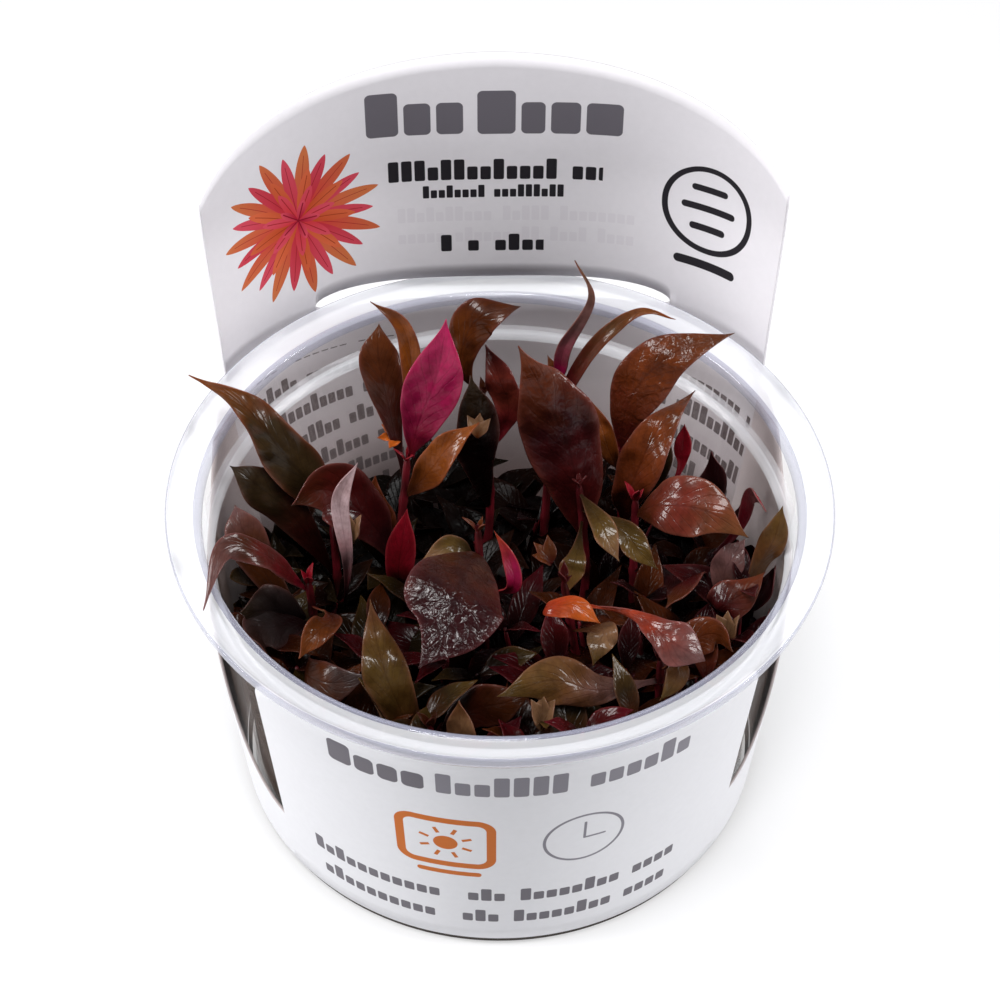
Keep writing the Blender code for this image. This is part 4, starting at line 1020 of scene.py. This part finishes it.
def bent_blade(shape, midrib, width, belly, turns, fold, wave, columns, rows, facing=FACING):
    """A blade on its midrib: a flat grid drawn to the leaf's outline, folded, turned and crumpled."""
    sideways = (midrib[3] - midrib[0]).cross(facing).normalized()
    frames = []
    for i in range(rows + 1):
        share = i / rows
        ahead = heading_at(midrib, share, 0.02)
        across = (sideways - ahead * sideways.dot(ahead)).normalized()
        up = across.cross(ahead)
        turn = radians(turns[0] + (turns[1] - turns[0]) * share)
        over = across * cos(turn) + up * sin(turn)
        lift = up * cos(turn) - across * sin(turn)
        frames.append((through(midrib, share), over, lift))
    made = bmesh.ops.create_grid(shape, x_segments=columns, y_segments=rows, size=0.5, calc_uvs=True)
    soft = 0.12 * width
    for vert in made["verts"]:
        share = vert.co.y + 0.5
        side = vert.co.x * 2
        point, over, lift = frames[round(share * rows)]
        drift = noise.noise(Vector((midrib[0].x + share * 5, midrib[0].y + (2 if side > 0 else -2), 0)))
        reach = side * width / 2 * leaf_outline(share, belly) * (1 + EDGE_DRIFT * drift * wave)
        rise = fold * (sqrt(reach * reach + soft * soft) - soft)
        waving = sin(share * EDGE_WAVES + side * 1.3 + width) * side * side
        rise += EDGE_WAVE_HEIGHT * wave * waving * sin(pi * share)
        crumple = noise.noise(point * CRUMPLE_SCALE + over * reach * 0.5)
        rise += CRUMPLE_HEIGHT * wave * crumple * sin(pi * share)
        vert.co = (point + over * reach + lift * rise) * MM
    return made["verts"]


def new_leaves():
    shape = bmesh.new()
    shape.loops.layers.uv.verify()
    return shape


def leaf_thickness(leaf, thickness):
    body = leaf.modifiers.new("Body", "SOLIDIFY")
    body.thickness = thickness * MM
    body.offset = 0
    body.material_offset = 1
    rounding = leaf.modifiers.new("Rounding", "SUBSURF")
    rounding.levels = 1
    rounding.render_levels = 1


def leaf_midrib(stem, root_height, low, high, tip):
    axis = stem_at_height(stem, root_height)
    away = (Vector(low) - axis) * Vector((1, 1, 0))
    root = axis + away.normalized() * (STEM_RADIUS * 0.6)
    return [root, Vector(low), Vector(high), Vector(tip)]


def grow_leaf(name, midrib, blade, look, columns=10, rows=34):
    width, belly, turn_root, turn_tip, fold = blade
    *colours, crinkle, wave = look
    shape = new_leaves()
    turns = (turn_root, turn_tip)
    bent_blade(shape, leaf_midrib(*midrib), width, belly, turns, fold, wave * GROWN_WAVES, columns, rows)
    leaf = object_from(shape, name)
    leaf_thickness(leaf, BLADE)
    *top, below = [PIGMENTS[colour] for colour in colours]
    leaf.data.materials.append(blade_skin(name + " skin", *top, crinkle, 0.34))
    leaf.data.materials.append(blade_skin(name + " underside", below, below, below, crinkle * 0.6, 0.36))
    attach(leaf, "root")
    return leaf


for leaf_name, (midrib, blade, look) in LEAVES.items():
    leaf = grow_leaf(leaf_name + "_blade", midrib, blade, look)
    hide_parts(leaf_name)

# Side leaves: smaller blades that show between the named ones. They are the lower pairs of their stems and
# mostly in shade. Their rows are like those above, with the slot last.
SIDE_LEAVES = {
    "side_narrow": (
        ("stem_right_back", 42, (15.4, 12.4, 48), (14, 12.8, 53), (12.2, 14.2, 57)),
        (3.2, 0.5, 0, 0, 0.25), ("umber", "amber", "rust", "brown", 0.5, 0.3), "leaf_amber"),
    "side_behind_spark": (
        ("stem_right_back", 33, (21.9, 16.8, 37), (22.7, 18.5, 42), (24, 20.7, 47)),
        (5.4, 0.55, 0, 0, -0.2), ("black wine", "dark olive", "olive", "wine", 0.5, 0.4), "leaf_olive"),
    "side_wall_right": (
        ("stem_right_back", 28, (28, 12.6, 35), (30.9, 14, 40), (30.4, 15.6, 45)),
        (4.8, 0.55, 0, 0, -0.2), ("black wine", "black wine", "wine", "wine", 0.5, 0.4), "leaf_wine"),
    "side_behind_sliver": (
        ("stem_magenta", 26, (-17, 7.6, 33), (-18.2, 8.8, 39), (-17.8, 10.8, 44.5)),
        (6.2, 0.55, 0, 0, 0.2), ("umber", "brown", "rust", "brown", 0.7, 0.4), "leaf_rust"),
    "side_left_dark": (
        ("stem_left", 34, (-30, -11.6, 38), (-32.6, -15, 40), (-31, -19, 40)),
        (6.4, 0.5, 0, 0, -0.15), ("wine", "slate", "umber", "wine", 0.6, 0.4), "leaf_umber"),
    "side_front_dark": (
        ("stem_front_low", 32, (-4, -26, 37.5), (0.6, -26.4, 40), (4.6, -25, 40.5)),
        (6, 0.5, 0, 0, -0.15), ("maroon", "umber", "brown", "wine", 0.6, 0.4), "leaf_umber"),
    "side_right_dark": (
        ("stem_right", 32, (25.4, -2.4, 38), (25, -8, 42), (22.6, -12, 42.5)),
        (6.4, 0.5, 0, 0, -0.15), ("wine", "maroon", "brown", "wine", 0.6, 0.4), "leaf_maroon"),
    "side_right_low": (
        ("stem_right_low", 36, (25.4, -16.6, 40), (29, -16, 42), (31.4, -18.4, 41)),
        (5.2, 0.5, 0, 0, -0.15), ("maroon", "rust", "brown", "wine", 0.6, 0.4), "leaf_rust"),
}
for leaf_name, (midrib, blade, look, slot_name) in SIDE_LEAVES.items():
    grow_leaf(leaf_name, midrib, blade, look, 8, 26)

# Buds: each stem ends in a few tiny leaves, still closed and upright, which hide its end.
# They are as dark as the grown leaves, with a redder foot. Loose buds run from brown to tan, one is orange.
UPRIGHT = Vector((0, 0, 1))
YOUNG_BLADE = 0.2
YOUNG_COLUMNS = 4
YOUNG_ROWS = 8
TUFT_LEAVES = 3
TUFT_HALF_TURNS = 0.7
TUFT_SLENDERNESS = 0.34
BUD_SLENDERNESS = 0.5
BUD_TURNS = (-50, 0, 50)
BUD_COLOURS = ("crimson", "umber", "maroon", "brown", "deep crimson")
# Each loose bud: foot (x, y, z), heading and climb in degrees, length, and the colours of foot and tip
LOOSE_BUDS = {
    "bud_cream": ((-20.7, -0.8, 42.5), 100, 75, 5.0, "olive", "tan"),
    "bud_tan_front": ((5.7, -30.4, 39.5), 90, 80, 5.4, "tan", "tan"),
    "bud_tan_right": ((30.9, -14.8, 38.5), 90, 78, 5.0, "brown", "tan"),
    "bud_pink": ((7.0, -6.0, 44.5), 150, 60, 4.2, "maroon", "brown"),
    "bud_orange": ((-14.2, 12.2, 50.5), 195, 30, 3.4, "amber", "orange"),
    "bud_pale": ((-3.2, 9.4, 53.5), 80, 65, 3.6, "brown", "tan"),
}
random.seed(7)


def small_leaf(shape, root, heading, climb, droop, length, width, wave):
    """One small blade that leaves its stem at a heading and a climb, and arches over towards its tip."""
    outward = Vector((cos(heading), sin(heading), 0))
    midrib = [root]
    for i in range(3):
        slope = climb - droop * (i + 0.5) / 3
        midrib.append(midrib[-1] + (outward * cos(slope) + UPRIGHT * sin(slope)) * length / 3)
    fold = random.uniform(0.1, 0.45)
    belly = random.uniform(0.40, 0.56)
    turns = (0, random.uniform(-30, 30))
    return bent_blade(shape, midrib, width, belly, turns, fold, wave, YOUNG_COLUMNS, YOUNG_ROWS, UPRIGHT)


def finish_bud(shape, name, foot_colour, tip_colour):
    bud = object_from(shape, name)
    leaf_thickness(bud, YOUNG_BLADE)
    foot = PIGMENTS[foot_colour]
    tip = PIGMENTS[tip_colour]
    bud.data.materials.append(blade_skin(name + " skin", foot, tip, tip, 0.3, 0.3))
    bud.data.materials.append(blade_skin(name + " underside", tip, tip, tip, 0.2, 0.3))
    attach(bud, "root")


for number, stem_name in enumerate(STEMS):
    tuft_shape = new_leaves()
    top = through(stem_points(stem_name), 0.97)
    first_heading = random.uniform(0, pi)
    for i in range(TUFT_LEAVES):
        heading = first_heading + i * pi * TUFT_HALF_TURNS
        climb = radians(random.uniform(66, 84))
        length = random.uniform(2.4, 4.2)
        width = length * TUFT_SLENDERNESS
        small_leaf(tuft_shape, top, heading, climb, radians(20), length, width, 0.1)
    finish_bud(tuft_shape, stem_name + "_tuft", "deep crimson", BUD_COLOURS[number % len(BUD_COLOURS)])
for bud_name, (foot, heading, climb, length, foot_colour, tip_colour) in LOOSE_BUDS.items():
    bud_shape = new_leaves()
    width = length * BUD_SLENDERNESS
    for turn in BUD_TURNS:
        outward = radians(heading + turn)
        small_leaf(bud_shape, Vector(foot), outward, radians(climb), radians(25), length, width, 0.2)
    finish_bud(bud_shape, bud_name, foot_colour, tip_colour)

# Young growth: three creeping stems on the gel carry many upright shoots, which fill the cup under the
# leaves. Each shoot has pairs of blades, every pair a quarter turn on from the one below it, the last one
# small. Where a blade meets the cup's wall it is pressed flat along it.
WALL_CLEARANCE = 0.7
RUNNER_MIDDLE = GEL_TOP + 1.2
RUNNER_RADIUS = 0.9
SHOOT_RADIUS = 0.55
SHOOT_FOOT = GEL_TOP - 1.0
YOUNG_SPOTS = 32
YOUNG_REACH = 33.0
WALL_SPOTS = 18
WALL_REACH = 35.2
WALL_FIRST = radians(-195)
WALL_SWEEP = radians(210)
WALL_RISE = 3.0
YOUNG_LEAN = 0.97
YOUNG_GLOSS = 0.04
GOLDEN_TURN = pi * (3 - sqrt(5))
# The pairs of leaves on a shoot: place from foot (0) to tip (1), and size
LEAF_PAIRS = ((0.30, 0.9), (0.55, 1.0), (0.78, 0.85), (0.97, 0.55))
# Each runner: its main shoots as place on the gel (x, y), height of the tip and twist, its slot, and the
# colours of its leaves (root, middle, tip and underside)
RUNNERS = {
    "young_shoots_left": (
        ((-6, 23, 25, 20), (-17, 18, 27, -20), (-29, 9, 29, 10), (-31, 0.5, 27, 10), (-28, -15, 33, -15)),
        "leaf_umber",
        (("wine", "umber", "brown", "umber"), ("umber", "dark olive", "olive", "brown"))),
    "young_shoots_front": (
        ((-9, -5, 31, 25), (-16, -15, 33, 0), (-3, -17, 34, 20), (6, -21, 35, -20), (3, -30, 36, 10)),
        "leaf_maroon",
        (("wine", "maroon", "deep crimson", "maroon"), ("wine", "umber", "brown", "maroon"),
         ("umber", "dark olive", "olive", "brown"))),
    "young_shoots_right": (
        ((27, -17, 34, 15), (20, -9, 33, -25), (28, 10, 28, 10), (22, 20, 27, -10), (11, 25, 25, 25)),
        "leaf_wine",
        (("black wine", "wine", "maroon", "wine"), ("maroon", "rust", "brown", "brown"))),
}


def inside_wall(point):
    """Keeps a point of a plant, in metres, clear of the cup's wall."""
    limit = FOOT_RADIUS - WALL - WALL_CLEARANCE + (STEP_RADIUS - FOOT_RADIUS) * point.z / MM / STEP_HEIGHT
    reach = Vector((point.x, point.y)).length / MM
    if reach > limit:
        return Vector((point.x * limit / reach, point.y * limit / reach, point.z))
    return point


def tube(shape, points, radius, steps):
    """A round stalk through the points, drawn in at its end."""
    made = bmesh.ops.create_grid(shape, x_segments=6, y_segments=steps, size=0.5)["verts"]
    for vert in made:
        share = vert.co.y + 0.5
        turn = 2 * pi * (vert.co.x + 0.5)
        ahead = heading_at(points, share, 0.03)
        across = ahead.cross(Vector((0.3, 0.9, 0.3))).normalized()
        thick = radius * (1 - 0.5 * share**4)
        ring = across * cos(turn) + across.cross(ahead) * sin(turn)
        vert.co = inside_wall((through(points, share) + ring * thick) * MM)


def grow_shoot(blades, stalks, foot, top, heading, skins):
    """A shoot from its foot to its top, with pairs of leaves that grow smaller towards the tip."""
    bow = Vector((random.uniform(-1.5, 1.5), random.uniform(-1.5, 1.5), 0))
    points = [foot, foot.lerp(top, 0.5) + bow, top]
    tube(stalks, points, SHOOT_RADIUS, 8)
    for share, size in LEAF_PAIRS:
        heading += pi / 2
        skin = random.randrange(skins)
        for half in range(2):
            climb = radians(random.uniform(25, 45) + 20 * share)
            length = random.uniform(12, 18) * size
            width = length * random.uniform(0.34, 0.44)
            droop = radians(random.uniform(20, 75))
            turned = heading + half * pi + random.uniform(-0.25, 0.25)
            made = small_leaf(blades, through(points, share), turned, climb, droop, length, width, 0.35)
            for face in {face for vert in made for face in vert.link_faces}:
                face.material_index = 2 * skin
            for vert in made:
                vert.co = inside_wall(vert.co)


random.seed(23)
young_places = []
for i in range(YOUNG_SPOTS):
    reach = YOUNG_REACH * sqrt((i + 0.5) / YOUNG_SPOTS)
    heading = i * GOLDEN_TURN
    young_places.append(Vector((reach * cos(heading), reach * sin(heading), SHOOT_FOOT)))
for i in range(WALL_SPOTS):
    heading = WALL_FIRST + WALL_SWEEP * i / (WALL_SPOTS - 1)
    young_places.append(Vector((WALL_REACH * cos(heading), WALL_REACH * sin(heading), SHOOT_FOOT)))
main_shoots = [(name, Vector(shoot[:3])) for name, (shoots, _, _) in RUNNERS.items() for shoot in shoots]
for name, (shoots, slot_name, looks) in RUNNERS.items():
    blades = new_leaves()
    stalks = bmesh.new()
    feet = [Vector((x, y, RUNNER_MIDDLE)) for x, y, _, _ in shoots]
    tube(stalks, feet, RUNNER_RADIUS, 30)
    for foot, (x, y, top, twist) in zip(feet, shoots):
        grow_shoot(blades, stalks, foot, Vector((x, y, top)), radians(twist), len(looks))
    for place in young_places:
        nearest, shoot = min(main_shoots, key=lambda item: (item[1].xy - place.xy).length)
        if nearest == name:
            height = shoot.z + random.uniform(-4, 3)
            if place.xy.length > YOUNG_REACH:
                height += WALL_RISE
            top = Vector((place.x * YOUNG_LEAN, place.y * YOUNG_LEAN, height))
            grow_shoot(blades, stalks, place, top, random.uniform(0, pi), len(looks))
    young_leaves = object_from(blades, name + "_leaves")
    leaf_thickness(young_leaves, YOUNG_BLADE)
    for number, look in enumerate(looks):
        *top, below = [PIGMENTS[colour] for colour in look]
        skin = f"{name} {number}"
        young_leaves.data.materials.append(blade_skin(skin, *top, 0.5, 0.26, YOUNG_GLOSS))
        skin += " underside"
        young_leaves.data.materials.append(blade_skin(skin, below, below, below, 0.3, 0.34, YOUNG_GLOSS))
    bmesh.ops.remove_doubles(stalks, verts=stalks.verts, dist=TOUCHING)
    bmesh.ops.holes_fill(stalks, edges=[edge for edge in stalks.edges if edge.is_boundary])
    bmesh.ops.recalc_face_normals(stalks, faces=stalks.faces)
    young_stems = object_from(stalks, name + "_stalks")
    young_stems.data.materials.append(stem_finish.material)
    for piece in (young_leaves, young_stems):
        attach(piece, "root")
        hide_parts(name)
